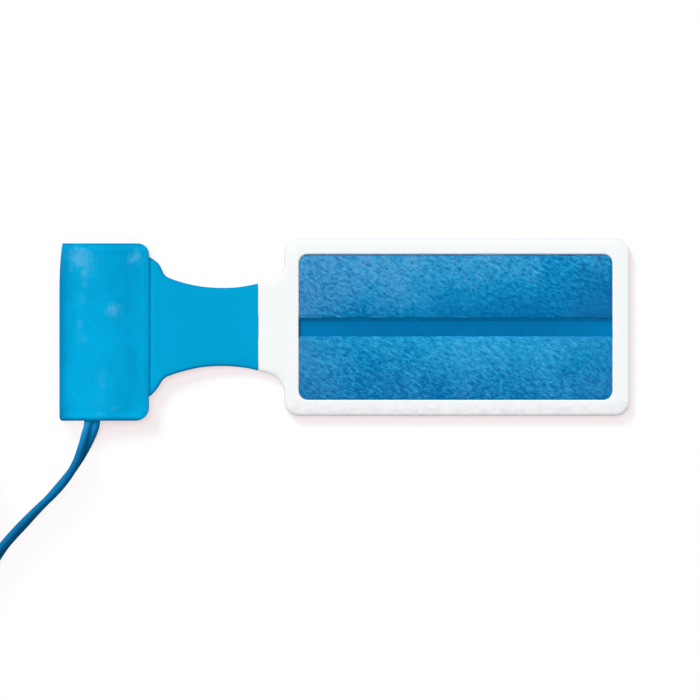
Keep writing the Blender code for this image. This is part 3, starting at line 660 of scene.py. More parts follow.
def buildFilmMaterial():
    made, shader, pen, place = startMaterial("filmBlue", film)
    cloud = pen.noise(place, film["cloudScale"], roughness=0.6)
    cloud = pen.mix(film["strokeShare"], cloud, useStrokes(pen, place)["Strokes"])
    tint = pen.mix(pen.over(cloud, "clouds"), film["shade"], film["colour"])
    x, y = pen.sides(place)
    low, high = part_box("gel_upper")
    away = pen.math("ABSOLUTE", pen.math("SUBTRACT", x, (low.x + high.x) / 2))
    fromEdge = pen.math("SUBTRACT", y, low.y)
    for distance, key in ((away, "atEnds"), (fromEdge, "upperShade"), (fromEdge, "paintedLightBelowGel")):
        tint = pen.mix(pen.over(distance, key + "From"), tint, film[key])
    finishMaterial(pen, shader, tint, cloud)
    return made


# soft plastic of the cord and the plug; the cord has painted light where it leaves the sleeve
softPlastic = {
    "colour": (0.0, 0.150, 0.355, 1.0),
    "shade": (0.0, 0.140, 0.336, 1.0),
    # pale: painted light on the cord where it leaves the sleeve and turns to the light
    "pale": (0.004, 0.225, 0.500, 1.0),
    "paintedLightFrom": (-63.0 * mm, -50.0 * mm),
    "specular": 0.04,
    "bump": 0.35,
    "cordPlastic": {"roughness": 0.45, "grain": 0.7 * mm, "relief": 0.02 * mm},
    "plugPlastic": {"roughness": 0.42, "grain": 0.35 * mm, "relief": 0.03 * mm},
}


def buildPlastic(name):
    values = {**softPlastic, **softPlastic[name]}
    made, shader, pen, place = startMaterial(name, values)
    inputs = {"Place": place, "Grain Size": values["grain"], "Roughness": values["roughness"]}
    grain = pen.group(mouldedGrain, inputs)
    tint = pen.mix(grain["Cloud"], values["shade"], values["colour"])
    if name == "cordPlastic":
        tint = pen.mix(pen.over(pen.sides(place)[1], "paintedLightFrom"), tint, values["pale"])
    pen.plug(grain["Roughness"], shader.inputs["Roughness"])
    finishMaterial(pen, shader, tint, grain["Height"])
    return made


# metals
metals = {
    "foilBright": {"colour": (0.86, 0.87, 0.88, 1.0), "roughness": 0.24, "lines": 900.0},
    "clipTinned": {"colour": (0.72, 0.70, 0.66, 1.0), "roughness": 0.35, "lines": 1500.0},
    "strandCopper": {"colour": (0.80, 0.42, 0.24, 1.0), "roughness": 0.35, "lines": 2500.0},
    "contactPlated": {"colour": (0.78, 0.76, 0.70, 1.0), "roughness": 0.25, "lines": 2000.0},
}
metalFinish = {"metallic": 1.0, "darker": 0.86, "relief": 0.02 * mm, "bump": 0.3}


def buildMetal(name):
    values = {**metalFinish, **metals[name]}
    made, shader, pen, place = startMaterial(name, values)
    inputs = {"Place": place, "Lines": values["lines"], "Roughness": values["roughness"]}
    lines = pen.group(brushed, inputs)
    darker = (*[channel * values["darker"] for channel in values["colour"][:3]], 1.0)
    tint = pen.mix(lines["Share"], darker, values["colour"])
    pen.plug(lines["Roughness"], shader.inputs["Roughness"])
    finishMaterial(pen, shader, tint, lines["Height"])
    return made


# paper of the tie round the coil
paper = {
    "colour": (0.90, 0.90, 0.88, 1.0),
    "shade": (0.80, 0.80, 0.77, 1.0),
    "fibreScale": 1400.0,
    "fibres": (0.35, 0.65),
    "relief": 0.03 * mm,
    "bump": 0.4,
    "roughness": 0.7,
}


def buildTiePaper():
    made, shader, pen, place = startMaterial("tiePaper", paper)
    fibre = pen.noise(place, paper["fibreScale"], detail=4.0, roughness=0.7)
    tint = pen.mix(pen.over(fibre, "fibres"), paper["shade"], paper["colour"])
    finishMaterial(pen, shader, tint, fibre)
    return made


print("materials")
neckFoam = buildBlueFoam("neckFoam", blueFoam["neckColour"], blueFoam["neckDeep"], False)
sleeveFoam = buildBlueFoam("sleeveFoam", blueFoam["sleeveColour"], blueFoam["sleeveDeep"], True)
backingFoam = buildWhiteFoam("backingFoam")
borderFoam = buildWhiteFoam("borderFoam")
filmBlue = buildFilmMaterial()
cordPlastic = buildPlastic("cordPlastic")
plugPlastic = buildPlastic("plugPlastic")
tiePaper = buildTiePaper()
madeMetals = {name: buildMetal(name) for name in metals}

placeCamera()


# twin cord: two conductors side by side, which roll over once on the way to the coil
cord = {
    "conductor": 3.65 * mm,
    "clearance": 0.1 * mm,
    "length": 3.0,
    "exit": Vector((-182.4 * mm, -46.95 * mm, 0.0)),
    "exitHeight": 1.1 * mm,
    "exitLifts": (1.0, 0.8, 0.1),  # shares of that height, at its first points
    "swell": 1.09,  # how much thicker it is before it reaches the coil
    "swellFade": 20,  # points over which that fades
    "runSteps": 5,
    "tailSteps": 6,
    "cut": 24.0,  # degrees of each conductor that the web between them covers, either side
    "arcPoints": 11,
    "coilFrom": 270.0,  # degrees from +X
    "coilStep": 5,  # degrees
    "changeOver": 60.0,  # degrees that a turn takes to change its place
    "leaving": 90,  # degrees in which it leaves the coil
    "sinking": 0.25,  # the share of these after which it goes down
    "besideCoil": 0.3 * mm,
    "beforePlug": 0.3 * mm,
    "columns": 3,
    "layers": 4,
    "fromExit": [  # x and y from the exit in mm, and the roll in degrees
        (0.0, 3.5, 0.0),
        (-0.15, -2.1, 10.0),
        (-2.25, -8.5, 38.0),
        (-4.6, -14.5, 62.0),
        (-7.45, -20.5, 82.0),
        (-11.2, -26.5, 95.0),
        (-15.95, -32.5, 101.0),
        (-21.4, -38.5, 94.0),
        (-27.5, -44.5, 85.0),
        (-33.25, -50.5, 77.0),
        (-38.9, -56.5, 76.0),
        (-44.1, -62.5, 76.0),
    ],
    "roundTheCoil": [(53.0, 12.3, 62.0), (45.0, 6.1, 40.0), (35.0, 2.1, 20.0), (23.0, 0.0, 6.0)],
    "toThePlug": [
        (0.3, 18.0, 0.0),
        (2.0, 34.0, 0.0),
        (7.8, 52.0, 0.1),
        (13.6, 63.0, 0.9),
        (21.6, 69.4, 1.9),
        (30.6, 72.0, 2.9),
    ],
}


def catmullRom(points, steps):
    ends = [2 * points[0] - points[1], *points, 2 * points[-1] - points[-2]]
    found = [points[0]]
    for a, b, c, d in zip(ends, ends[1:], ends[2:], ends[3:]):
        for i in range(1, steps + 1):
            t = i / steps
            found.append(
                b * (2 * t**3 - 3 * t**2 + 1)
                + (c - a) / 2 * (t**3 - 2 * t**2 + t)
                + c * (3 * t**2 - 2 * t**3)
                + (d - b) / 2 * (t**3 - t**2)
            )
    return found


def coilPoints(centre, outer, bottom, radius):
    pitch = 4 * radius + cord["clearance"]
    rise = 2 * radius + cord["clearance"]
    side = outer + cord["besideCoil"] + 2 * radius
    innermost = outer - cord["columns"] * pitch + pitch / 2
    places = [(side, radius)]
    for layer in range(cord["layers"]):
        columns = range(cord["columns"])
        for column in reversed(columns) if layer % 2 == 0 else columns:
            places.append((innermost + column * pitch, bottom + rise * layer + rise / 2))
    found = []
    for near, far in zip(places, places[1:]):
        for angle in range(0, 360, cord["coilStep"]):
            share = smoothStep(angle / cord["changeOver"])
            found.append((angle, *blend(near, far, share)))
    distance, height = places[-1]
    for angle in range(0, cord["leaving"], cord["coilStep"]):
        share = angle / cord["leaving"]
        sunk = smoothStep((share - cord["sinking"]) / (1.0 - cord["sinking"]))
        further = distance + (side - distance) * smoothStep(2 * share)
        found.append((angle, further, height + (radius - height) * sunk))
    line = []
    for angle, distance, height in found:
        turned = math.radians(cord["coilFrom"] - angle)
        place = centre + Vector((distance * math.cos(turned), distance * math.sin(turned), 0.0))
        line.append(Vector((place.x, place.y, height, 0.0)))
    return line, side


def cordLine():
    radius = cord["conductor"] / 2
    low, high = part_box("cord_coil")
    centre = Vector(((low.x + high.x) / 2, (low.y + high.y) / 2, 0.0))
    coil, side = coilPoints(centre, (high.x - low.x) / 2, low.z, radius)

    def standing(x, y, roll, lift=0.0):
        height = cord["swell"] * radius * (1 + abs(math.sin(math.radians(roll))))
        return Vector((x, y, height + lift, roll))

    lifts = [cord["exitHeight"] * share for share in cord["exitLifts"]]
    lifts += [0.0] * (len(cord["fromExit"]) - len(lifts))
    run = []
    for (x, y, roll), lift in zip(cord["fromExit"], lifts):
        run.append(standing(cord["exit"].x + x * mm, cord["exit"].y + y * mm, roll, lift))
    for x, y, roll in cord["roundTheCoil"]:
        run.append(standing(centre.x + x * mm, centre.y - side + y * mm, roll))
    tail = []
    for x, y, lift in cord["toThePlug"]:
        place = (centre.x - side + x * mm, centre.y + y * mm, radius + lift * mm, 0.0)
        tail.append(Vector(place))
    plugLow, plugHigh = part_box("plug_housing")
    middle = blend(plugLow, plugHigh, 0.5)
    end = Vector((plugLow.x - cord["beforePlug"], middle[1], middle[2], 0.0))
    toCoil = catmullRom(run + [coil[0]], cord["runSteps"])[:-1]
    line = toCoil + coil + catmullRom([coil[-1], *tail, end], cord["tailSteps"])[1:]
    beforeCoil = [(len(toCoil) - i) / cord["swellFade"] for i in range(len(line))]
    return line, [1 + (cord["swell"] - 1) * smoothStep(share) for share in beforeCoil]


def cordSection(radius):
    reach = math.radians(180.0 - cord["cut"])
    steps = cord["arcPoints"] - 1
    right = []
    for i in range(steps + 1):
        angle = -reach + 2 * reach * i / steps
        right.append((radius + radius * math.cos(angle), radius * math.sin(angle)))
    return right + [(-x, -y) for x, y in right]


def buildCord():
    line, sizes = cordLine()
    section = cordSection(cord["conductor"] / 2)
    bm = bmesh.new()
    loops = []
    for index, point in enumerate(line):
        ahead = line[min(index + 1, len(line) - 1)]
        behind = line[max(index - 1, 0)]
        along = (ahead - behind).xyz.normalized()
        side = along.cross(Vector((0.0, 0.0, 1.0))).normalized()
        upward = side.cross(along)
        roll = math.radians(point.w)
        wide = (side * math.cos(roll) + upward * math.sin(roll)) * sizes[index]
        tall = (upward * math.cos(roll) - side * math.sin(roll)) * sizes[index]
        loops.append([bm.verts.new(point.xyz + wide * x + tall * y) for x, y in section])
    linkLoops(bm, loops)
    bm.faces.new(loops[0])
    bm.faces.new(loops[-1])
    made = finishMesh("twinCord", bm, [cordPlastic], smoothAngle=60.0)
    settle(made, "cord_jacket", "cord_run", "cord_coil", "cord_tail")
    path = [tuple(point.xyz) for point in line]
    long = sum(math.dist(a, b) for a, b in zip(path, path[1:]))
    print("cord length", round(long, 3))


# twist tie: a flat paper-covered wire round the coil, its ends twisted together on top
tie = {
    "width": 4.0 * mm,
    "thickness": 0.5 * mm,
    "clear": 0.3 * mm,
    "corner": 2.7 * mm,
    "cornerSteps": 10,
    "edge": 0.12 * mm,
    "turnFromX": math.radians(45.0),
    "twistLength": 17.0 * mm,
    "twistTurns": 3.0,
    "twistWidth": 3.2 * mm,
    "twistMiddle": 1.3 * mm,
    "twistEdge": 0.55 * mm,
    "twistShoulder": 0.35,
    "twistRise": 6.0,
    "twistSteps": 90,
    "merge": 0.001 * mm,
    "curl": 1.6 * mm,
}


def tieBand(middleX, middleZ, halfWide, halfTall):
    corner, steps = tie["corner"], tie["cornerSteps"]
    quarters = ((1, 1), (-1, 1), (-1, -1), (1, -1))
    half, edge, thick = tie["width"] / 2, tie["edge"], tie["thickness"] / 2
    section = [(-half, edge - thick), (-half, thick - edge)]
    section += [(edge - half, thick), (half - edge, thick)]
    section += [(-y, -out) for y, out in section]
    loops = []
    for turn, (wayX, wayZ) in enumerate(quarters):
        for i in range(steps + 1):
            angle = math.radians(90.0) * (turn + i / steps)
            outX, outZ = math.cos(angle), math.sin(angle)
            x = middleX + wayX * (halfWide - corner) + corner * outX
            z = middleZ + wayZ * (halfTall - corner) + corner * outZ
            loops.append([(x + outX * out, y, z + outZ * out) for y, out in section])
    return loops + loops[:1]


def tieTwist(middleX, startZ):
    wide, middle, edge = tie["twistWidth"] / 2, tie["twistMiddle"] / 2, tie["twistEdge"] / 2
    shoulder = tie["twistShoulder"] * wide
    section = [(wide, -edge), (wide, edge), (shoulder, middle), (-shoulder, middle)]
    section += [(-x, -z) for x, z in section]
    loops = []
    for i in range(tie["twistSteps"] + 1):
        share = i / tie["twistSteps"]
        turn = 2 * math.pi * tie["twistTurns"] * share
        z = startZ + wide * smoothStep(tie["twistRise"] * share) + tie["curl"] * share**2
        loops.append(
            [
                (
                    middleX + x * math.cos(turn) - up * math.sin(turn),
                    tie["twistLength"] * share,
                    z + x * math.sin(turn) + up * math.cos(turn),
                )
                for x, up in section
            ]
        )
    return loops


def buildTie():
    low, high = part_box("cord_coil")
    outer = (high.x - low.x) / 2
    across = cord["columns"] * (2 * cord["conductor"] + cord["clearance"])
    room = tie["clear"] + tie["thickness"] / 2
    middleX, middleZ = outer - across / 2, (low.z + high.z) / 2
    halfTall = (high.z - low.z) / 2 + room
    bm = bmesh.new()
    band = tieBand(middleX, middleZ, across / 2 + room, halfTall)
    twist = tieTwist(middleX, middleZ + halfTall)
    for loops in (band, twist):
        made = [[bm.verts.new(point) for point in loop] for loop in loops]
        linkLoops(bm, made)
        if loops is twist:
            bm.faces.new(made[0])
            bm.faces.new(made[-1])
    bmesh.ops.remove_doubles(bm, verts=bm.verts, dist=tie["merge"])
    turned = Matrix.Rotation(tie["turnFromX"], 4, "Z")
    centre = Vector(((low.x + high.x) / 2, (low.y + high.y) / 2, 0.0))
    bm.transform(Matrix.Translation(centre) @ turned)
    settle(finishMesh("twistTie", bm, [tiePaper], smoothAngle=35.0), "tie", "cord_tie")


print("cord")
buildTie()
buildCord()


# laminated layers of the pad and neck: softened die-cut edges and a slight unevenness
layers = {
    "rim": 1.4 * mm,
    "rimDrop": 0.42 * mm,
    "windowRim": 0.4 * mm,
    "windowDrop": 0.12 * mm,
    "rings": (0.1, 0.18, 0.22, 0.25, 0.25, 0.3),  # mm, each inwards from the one before
    "cell": 5.0 * mm,
    "wave": 0.15 * mm,
    "waveLength": 55.0 * mm,
    "wander": 0.14 * mm,
    "wanderLength": 11.0 * mm,
    "waveSeed": 3.7,
    "wanderSeeds": (2.3, 8.1),
    "shoulders": ((-149.5, 30.5, 0.95), (-150.5, -31.5, -0.5)),  # x, y and push outwards, in mm
    "shoulderReach": 5.0 * mm,
    "shoulderPush": (0.75, 0.66),  # the shares of a push along X and along Y
    "creaseSlope": 0.002,
    "flatAngle": math.radians(0.6),
    "upward": 0.7,  # the normal's height from which a face belongs to the top
    "merge": 0.01 * mm,
    "rimMerge": 0.25 * mm,
    "gridShift": 0.013,
    "jointReach": 0.05 * mm,
    "windowReach": 1.0 * mm,
}


def readClimb():
    found = {}
    for vert in nodes["backing_foam"].data.vertices:
        found[vert.co.x] = min(vert.co.z, found.get(vert.co.x, 1.0))
    return numpy.array(sorted(found.items())).T


climbAt, climbHeight = readClimb()
slopes = numpy.diff(climbHeight) / numpy.diff(climbAt)
creases = climbAt[1:-1][numpy.abs(numpy.diff(slopes)) > layers["creaseSlope"]]


def climb(x):
    return float(numpy.interp(x, climbAt, climbHeight))


def padWave(x, y):
    length = layers["waveLength"]
    value = noise.noise(Vector((x / length, y / length, layers["waveSeed"])))
    return layers["wave"] * (value + 0.5)


def wander(vert):
    place = Vector((vert.co.x, vert.co.y, 0.0)) / layers["wanderLength"]
    for axis, seed in enumerate(layers["wanderSeeds"]):
        vert.co[axis] += layers["wander"] * noise.noise(place + Vector((0.0, 0.0, seed)))
    pushX, pushY = layers["shoulderPush"]
    for x, y, push in layers["shoulders"]:
        away = math.hypot(vert.co.x - x * mm, vert.co.y - y * mm) / layers["shoulderReach"]
        share = push * mm * math.exp(-(away**2))
        vert.co.x += pushX * share
        vert.co.y += math.copysign(pushY * share, y)


def copyNode(name):
    bm = bmesh.new()
    bm.from_mesh(nodes[name].data)
    bmesh.ops.remove_doubles(bm, verts=bm.verts, dist=layers["merge"])
    for vert in bm.verts:
        vert.co.z -= climb(vert.co.x)
    bmesh.ops.dissolve_limit(
        bm,
        angle_limit=layers["flatAngle"],
        verts=bm.verts,
        edges=bm.edges,
        use_dissolve_boundaries=False,
    )
    return bm


def cutAt(bm, axis, distance):
    place, normal = Vector((0.0, 0.0, 0.0)), Vector((0.0, 0.0, 0.0))
    place[axis], normal[axis] = distance, 1.0
    everything = bm.verts[:] + bm.edges[:] + bm.faces[:]
    bmesh.ops.bisect_plane(bm, geom=everything, plane_co=place, plane_no=normal)


def cutGrid(bm, cell):
    for axis in (0, 1):
        low = min(vert.co[axis] for vert in bm.verts)
        high = max(vert.co[axis] for vert in bm.verts)
        for i in range(math.ceil(low / cell), math.ceil(high / cell)):
            cutAt(bm, axis, (i + layers["gridShift"]) * cell)
    for x in creases:
        cutAt(bm, 0, float(x))


def segmentDistances(points, segments):
    spots = numpy.array(points)[:, None, :]
    starts = numpy.array([first for first, second in segments])[None]
    ends = numpy.array([second for first, second in segments])[None]
    along = ends - starts
    share = ((spots - starts) * along).sum(2) / numpy.maximum((along**2).sum(2), 1e-12)
    near = starts + along * numpy.clip(share, 0.0, 1.0)[..., None]
    return numpy.sqrt(((spots - near) ** 2).sum(2)).min(1)


def softenRims(bm):
    bmesh.ops.remove_doubles(bm, verts=bm.verts, dist=layers["rimMerge"])
    top = [face for face in bm.faces if face.normal.z > layers["upward"]]
    chosen = set(top)
    windowLow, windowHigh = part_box("gel_lower")[0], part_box("gel_upper")[1]
    joints = [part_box("neck_cover")[1].x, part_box("border_foam")[0].x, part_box("neck_cover")[0].x]
    outer, window, reach = [], [], layers["windowReach"]
    for edge in bm.edges:
        if sum(face in chosen for face in edge.link_faces) != 1:
            continue
        first, second = (tuple(vert.co[:2]) for vert in edge.verts)
        middle = [(a + b) / 2 for a, b in zip(first, second)]
        across = abs(first[0] - second[0]) < layers["merge"]
        if across and min(abs(middle[0] - x) for x in joints) < layers["jointReach"]:
            continue
        inside = all(windowLow[i] - reach < middle[i] < windowHigh[i] + reach for i in (0, 1))
        (window if inside else outer).append((first, second))
    if not window:
        top = bmesh.ops.dissolve_faces(bm, faces=top)["region"]
    for ring in layers["rings"]:
        bmesh.ops.inset_region(
            bm, faces=top, thickness=ring * mm, use_boundary=True, use_even_offset=True
        )
    cutGrid(bm, layers["cell"])
    # the rim mark: how much painted shade the material puts there
    mark = bm.verts.layers.float.new("rim")
    top = [face for face in bm.faces if face.normal.z > layers["upward"]]
    verts = list({vert for face in top for vert in face.verts})
    points = [tuple(vert.co[:2]) for vert in verts]
    for segments, width, drop in (
        (outer, layers["rim"], layers["rimDrop"]),
        (window, layers["windowRim"], layers["windowDrop"]),
    ):
        if segments:
            for vert, distance in zip(verts, segmentDistances(points, segments)):
                vert.co.z -= drop * rimFall(distance, width)
                if segments is outer:
                    vert[mark] = rimMark(distance, width)


def buildLayer(name, node, material, rounded, slotName):
    bm = copyNode(node)
    if rounded:
        softenRims(bm)
    else:
        cutGrid(bm, layers["cell"])
    for vert in bm.verts:
        vert.co.z += climb(vert.co.x) + padWave(vert.co.x, vert.co.y)
        wander(vert)
    made = finishMesh(name, bm, [material])
    settle(made, slotName, node)
    return made


print("layers")
for name, node, material, rounded, slotName in (
    ("backing", "backing_foam", backingFoam, False, "white_foam"),
    ("borderFrame", "border_foam", borderFoam, True, "white_foam"),
    ("neckPanel", "neck_cover", neckFoam, True, "blue_foam"),
    ("stripFilm", "carrier_film", filmBlue, False, "blue_film"),
    ("upperFoil", "foil_upper", madeMetals["foilBright"], False, "foil"),
    ("lowerFoil", "foil_lower", madeMetals["foilBright"], False, "foil"),
):
    made = buildLayer(name, node, material, rounded, slotName)


# gel fields: lumpy on top, rounded at the rim, with an uneven edge along the strip
def gelInside(x, y, low, high, side):
    corner = gel["corner"]
    inside = min(x - low.x, high.x - x, y - low.y, high.y - y)
    cornerY = high.y - corner if side > 0 else low.y + corner
    beyond = (y - cornerY) * side
    for cornerX, way in ((low.x + corner, -1), (high.x - corner, 1)):
        if beyond > 0 and (x - cornerX) * way > 0:
            return corner - math.hypot(x - cornerX, beyond)
    return inside


def buildGel(name, node, side):
    bm = copyNode(node)
    low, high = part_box(node)
    cutGrid(bm, gel["cell"])
    for inset in gel["insets"]:
        for axis in (0, 1):
            cutAt(bm, axis, low[axis] + inset)
            cutAt(bm, axis, high[axis] - inset)
    middle = (low.z + high.z) / 2
    stripY = low.y if side > 0 else high.y
    lumpScale, (waveSeed, waveLevel) = gel["lumpScale"], gel["waveSeeds"]
    for vert in bm.verts:
        x, y, z = vert.co
        fromStrip = abs(y - stripY)
        if z > middle:
            inside = max(0.0, gelInside(x, y, low, high, side))
            lump = fractal(x * lumpScale, y * lumpScale, side * gel["lumpSeed"])
            vert.co.z += gel["lump"] * lump * smoothStep(inside / gel["lumpReach"])
            vert.co.z -= gel["rimDrop"] * rimFall(inside, gel["rim"])
            vert.co.z -= gel["stripDrop"] * rimFall(fromStrip, gel["rim"])
        wave = fractal(x * gel["waveScale"], side * waveSeed, waveLevel)
        vert.co.y += gel["wave"] * wave * (1.0 - smoothStep(fromStrip / gel["waveReach"]))
        vert.co.z += padWave(x, y)
    made = finishMesh(name, bm, [buildGelMaterial(name, low, high)], smoothAngle=70.0)
    settle(made, "blue_gel", node)


print("gel")
buildGel("upperGel", "gel_upper", 1)
buildGel("lowerGel", "gel_lower", -1)


# folded sleeve: one foam sheet round the cable end, drawn in a little at its ends
sleeve = {
    "thickness": 1.0 * mm,
    "topCorner": 5.3 * mm,
    "bottomCorner": 6.5 * mm,
    "below": 0.2 * mm,
    "foldPull": 1.5 * mm,
    "foldPullLength": 28.0 * mm,
    "foldCorner": 2.6 * mm,
    "foldCornerPull": 0.8 * mm,
    "droopTop": 0.5 * mm,
    "droopBottom": 0.6 * mm,
    "exitHump": 10.0 * mm,
    "topMargin": 4.05 * mm,
    "bottomMargin": 8.95 * mm,
    "tabEnd": -176.5 * mm,
    "edgeHeight": 4.25 * mm,
    "lip": 0.14 * mm,
    "lipWidth": 1.0 * mm,
    "lipInset": 2.2 * mm,
    "lipEnds": (4.5 * mm, 13.5 * mm),  # from the top, where it begins and where it is whole
    "rim": 1.25 * mm,
    "rimDrop": 0.5 * mm,
    "topDrop": 0.12 * mm,
    "edgeDrop": 0.06 * mm,
    "relief": 0.22 * mm,
    "reliefScale": (55.0, 38.0),
    "reliefSeed": 7.1,
    "reliefFrom": 8.0 * mm,
    "foldTurn": 2.0 * mm,  # what the fold adds to the flat length
    "cornerSteps": 12,
    "nearEdge": (0.0, 0.1, 0.28, 0.5, 0.75, 1.0, 1.3, 1.9, 2.6),  # mm from a cut edge
    "stationGap": 1.1 * mm,
    "across": 36,
    "bendSteps": 18,
}


def sleeveSizes():
    low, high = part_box("folded_sleeve")
    sleeve["foldX"], sleeve["edgeX"] = low.x, high.x
    sleeve["bottomY"], sleeve["topY"] = low.y - sleeve["below"], high.y
    sleeve["foldHeight"] = high.z - sleeve["thickness"]


def cornerCut(y, end, corner, way):
    into = corner - way * (end - y)
    return corner - math.sqrt(max(0.0, corner**2 - max(0.0, into) ** 2))


def flapUnder(x, y):
    toEdge = smoothStep((x - sleeve["tabEnd"]) / (sleeve["edgeX"] - sleeve["tabEnd"]))
    flat = sleeve["foldHeight"] + (sleeve["edgeHeight"] - sleeve["foldHeight"]) * toEdge
    top = smoothStep(1.0 - (sleeve["topY"] - y) / sleeve["topMargin"])
    bottom = smoothStep(1.0 - (y - sleeve["bottomY"]) / sleeve["bottomMargin"])
    hump = math.exp(-(((x - cord["exit"].x) / sleeve["exitHump"]) ** 4))
    return flat - sleeve["droopTop"] * top - sleeve["droopBottom"] * bottom * (1.0 - hump)


def endDrop(y):
    fromEnd = min(y - sleeve["bottomY"], sleeve["topY"] - y)
    return sleeve["topDrop" if y > 0 else "rimDrop"] * rimFall(fromEnd, sleeve["rim"])


def flapRelief(x, y, edgeX):
    fromTop = sleeve["topY"] - y
    fromLip = min(edgeX - x, y - sleeve["bottomY"], fromTop) - sleeve["lipInset"]
    begins, whole = sleeve["lipEnds"]
    lip = sleeve["lip"] * math.exp(-((fromLip / sleeve["lipWidth"]) ** 2))
    lip *= smoothStep((fromTop - begins) / (whole - begins))
    scaleX, scaleY = sleeve["reliefScale"]
    slow = fractal(x * scaleX, y * scaleY, sleeve["reliefSeed"])
    slow *= smoothStep((x - sleeve["foldX"]) / sleeve["reliefFrom"])
    drop = max(endDrop(y), sleeve["edgeDrop"] * rimFall(edgeX - x, sleeve["rim"]))
    return lip - drop + sleeve["relief"] * slow


def sleeveRing(y):
    pulled = fade(sleeve["topY"] - y, sleeve["foldPullLength"]) ** 3
    cornered = fade(y - sleeve["bottomY"], sleeve["foldCorner"]) ** 3
    foldX = sleeve["foldX"] + sleeve["foldPull"] * pulled + sleeve["foldCornerPull"] * cornered
    edgeX = sleeve["edgeX"] - cornerCut(y, sleeve["topY"], sleeve["topCorner"], 1)
    edgeX -= cornerCut(y, sleeve["bottomY"], sleeve["bottomCorner"], -1)
    thick, half = sleeve["thickness"], sleeve["thickness"] / 2
    bend = (flapUnder(foldX, y) + thick) / 2
    centreX = foldX + bend
    lift = flapUnder(centreX, y) + thick - 2 * bend
    near = [edgeX - inset * mm for inset in sleeve["nearEdge"]]
    count, turns = sleeve["across"], sleeve["bendSteps"]
    columns = near + [near[-1] + (centreX - near[-1]) * i / count for i in range(1, count + 1)]
    rows = [(x, half, 0.0, -1.0, 0.0) for x in columns]  # x, z, outward normal, lift of the top
    for i in range(1, turns):
        angle = math.radians(270.0 - 180.0 * i / turns)
        outX, outZ = math.cos(angle), math.sin(angle)
        x, z = centreX + (bend - half) * outX, bend + (bend - half) * outZ
        rows.append((x, z + lift * z / (2 * bend), outX, outZ, -endDrop(y) * i / turns))
    for x in reversed(columns):
        rows.append((x, flapUnder(x, y) + half, 0.0, 1.0, flapRelief(x, y, edgeX)))
    outer, inner = [], []
    for x, z, outX, outZ, up in rows:
        outer.append((x + outX * (half + up * abs(outX)), y, z + outZ * half + up * abs(outZ)))
        inner.append((x - outX * half, y, z - outZ * half + max(0.0, up) * abs(outZ)))
    return outer + inner[::-1]


def sleeveStations(low, high):
    found = {low + inset * mm for inset in sleeve["nearEdge"]}
    found |= {high - inset * mm for inset in sleeve["nearEdge"]}
    steps = sleeve["cornerSteps"]
    for i in range(steps // 4, steps + 1):
        share = 1 - math.cos(math.pi / 2 * i / steps)
        found |= {low + sleeve["bottomCorner"] * share, high - sleeve["topCorner"] * share}
    first, last = low + sleeve["bottomCorner"], high - sleeve["topCorner"]
    count = round((last - first) / sleeve["stationGap"])
    return sorted(found | {first + (last - first) * i / count for i in range(1, count)})


def buildSleeve():
    sleeveSizes()
    low, high = sleeve["bottomY"], sleeve["topY"]
    bm = bmesh.new()
    stations = sleeveStations(low, high)
    loops = [[bm.verts.new(point) for point in sleeveRing(y)] for y in stations]
    linkLoops(bm, loops)
    size = len(loops[0])
    for loop in (loops[0], loops[-1]):
        for i in range(size // 2 - 1):
            bm.faces.new((loop[i], loop[i + 1], loop[size - 2 - i], loop[size - 1 - i]))
    # the rim mark: how much painted shade the material puts at the sleeve's ends
    mark = bm.verts.layers.float.new("rim")
    for vert in bm.verts:
        vert[mark] = rimMark(min(vert.co.y - low, high - vert.co.y), sleeve["rim"])
    made = finishMesh("foldedSleeve", bm, [sleeveFoam], smoothAngle=50.0)
    settle(made, "blue_foam", "folded_sleeve")


print("sleeve")
buildSleeve()


# CAD nodes that stay, with finished materials
for node, material in (
    ("crimp_upper", madeMetals["clipTinned"]),
    ("crimp_lower", madeMetals["clipTinned"]),
    ("strand_upper", madeMetals["strandCopper"]),
    ("strand_lower", madeMetals["strandCopper"]),
    ("cord_leg_upper", cordPlastic),
    ("cord_leg_lower", cordPlastic),
    ("plug_contact_left", madeMetals["contactPlated"]),
    ("plug_contact_right", madeMetals["contactPlated"]),
    ("plug_housing", plugPlastic),
):
    slots = nodes[node].data.materials
    slots.clear()
    slots.append(material)


# table: a dark colour that takes the shadows, and a glow that makes it white
tableTop = {
    "colour": (0.28, 0.44, 0.43, 1.0),
    "glow": (0.73, 0.57, 0.58, 1.0),
    "burntOut": (0.06, 0.10, 0.10, 1.0),  # beside the cord, where its white hides the shadow
    "burntOutGlow": (0.945, 0.905, 0.905, 1.0),
    "below": (-52.0 * mm, -64.0 * mm),  # the borders of that place
    "leftOf": (-178.0 * mm, -188.0 * mm),
    "leftBelow": (-30.0 * mm, -44.0 * mm, 0.0, 0.75),
    "rightOf": (-236.0 * mm, -228.0 * mm),
    "roughness": 0.9,
    "specular": 0.0,
    "size": 4.0,
}


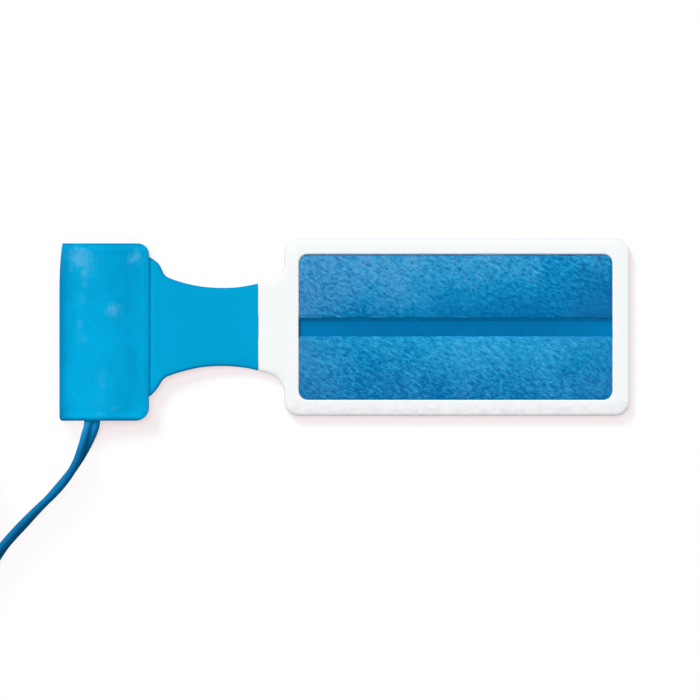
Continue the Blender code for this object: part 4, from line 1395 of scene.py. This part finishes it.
def seenDirectly(pen):
    rays = pen.add("ShaderNodeLightPath").outputs
    seen = pen.math("MAXIMUM", rays["Is Camera Ray"], rays["Is Glossy Ray"])
    return pen.math("MAXIMUM", seen, rays["Is Transmission Ray"])


def buildTable():
    made, shader, pen, place = startMaterial("tableWhite", tableTop)
    x, y = pen.sides(place)
    left = pen.times(pen.over(x, "leftOf"), pen.over(y, "leftBelow"))
    beside = pen.math("MAXIMUM", pen.over(y, "below"), left)
    beside = pen.times(beside, pen.over(x, "rightOf"))
    colour = pen.mix(beside, tableTop["colour"], tableTop["burntOut"])
    glow = pen.mix(beside, tableTop["glow"], tableTop["burntOutGlow"])
    pen.plug(colour, shader.inputs["Base Color"])
    pen.plug(glow, shader.inputs["Emission Color"])
    pen.plug(seenDirectly(pen), shader.inputs["Emission Strength"])
    bm = bmesh.new()
    bmesh.ops.create_grid(bm, x_segments=1, y_segments=1, size=tableTop["size"])
    table = finishMesh("table", bm, [made])


# light: a softbox and a window from the upper left, and a bright room
light = {
    "lamps": (  # name, share of the light on the table, height and size in degrees
        ("softbox", 0.28, 62.0, 40.0),
        ("window", 0.35, 22.5, 14.0),
    ),
    "turn": 120.0,  # where the light comes from, in degrees from +X
    "room": 0.37,
}


def buildLight():
    turn = math.radians(light["turn"])
    for name, share, height, size in light["lamps"]:
        height = math.radians(height)
        data = bpy.data.lights.new(name, "SUN")
        data.energy = share * math.pi / math.sin(height)
        data.angle = math.radians(size)
        lamp = bpy.data.objects.new(name, data)
        level = math.cos(height)
        away = Vector((math.cos(turn) * level, math.sin(turn) * level, math.sin(height)))
        lamp.rotation_euler = away.to_track_quat("Z", "Y").to_euler()
        putInScene(lamp)
    world = bpy.data.worlds.new("room")
    bpy.context.scene.world = world
    world.use_nodes = True
    pen = NodeTree(world.node_tree)
    shader = world.node_tree.nodes["Background"]
    brightness = pen.spread(seenDirectly(pen), 0.0, 1.0, light["room"], 1.0)
    pen.plug(white, shader.inputs["Color"])
    pen.plug(brightness, shader.inputs["Strength"])


print("studio")
buildTable()
buildLight()
bpy.context.scene.view_settings.view_transform = "Standard"
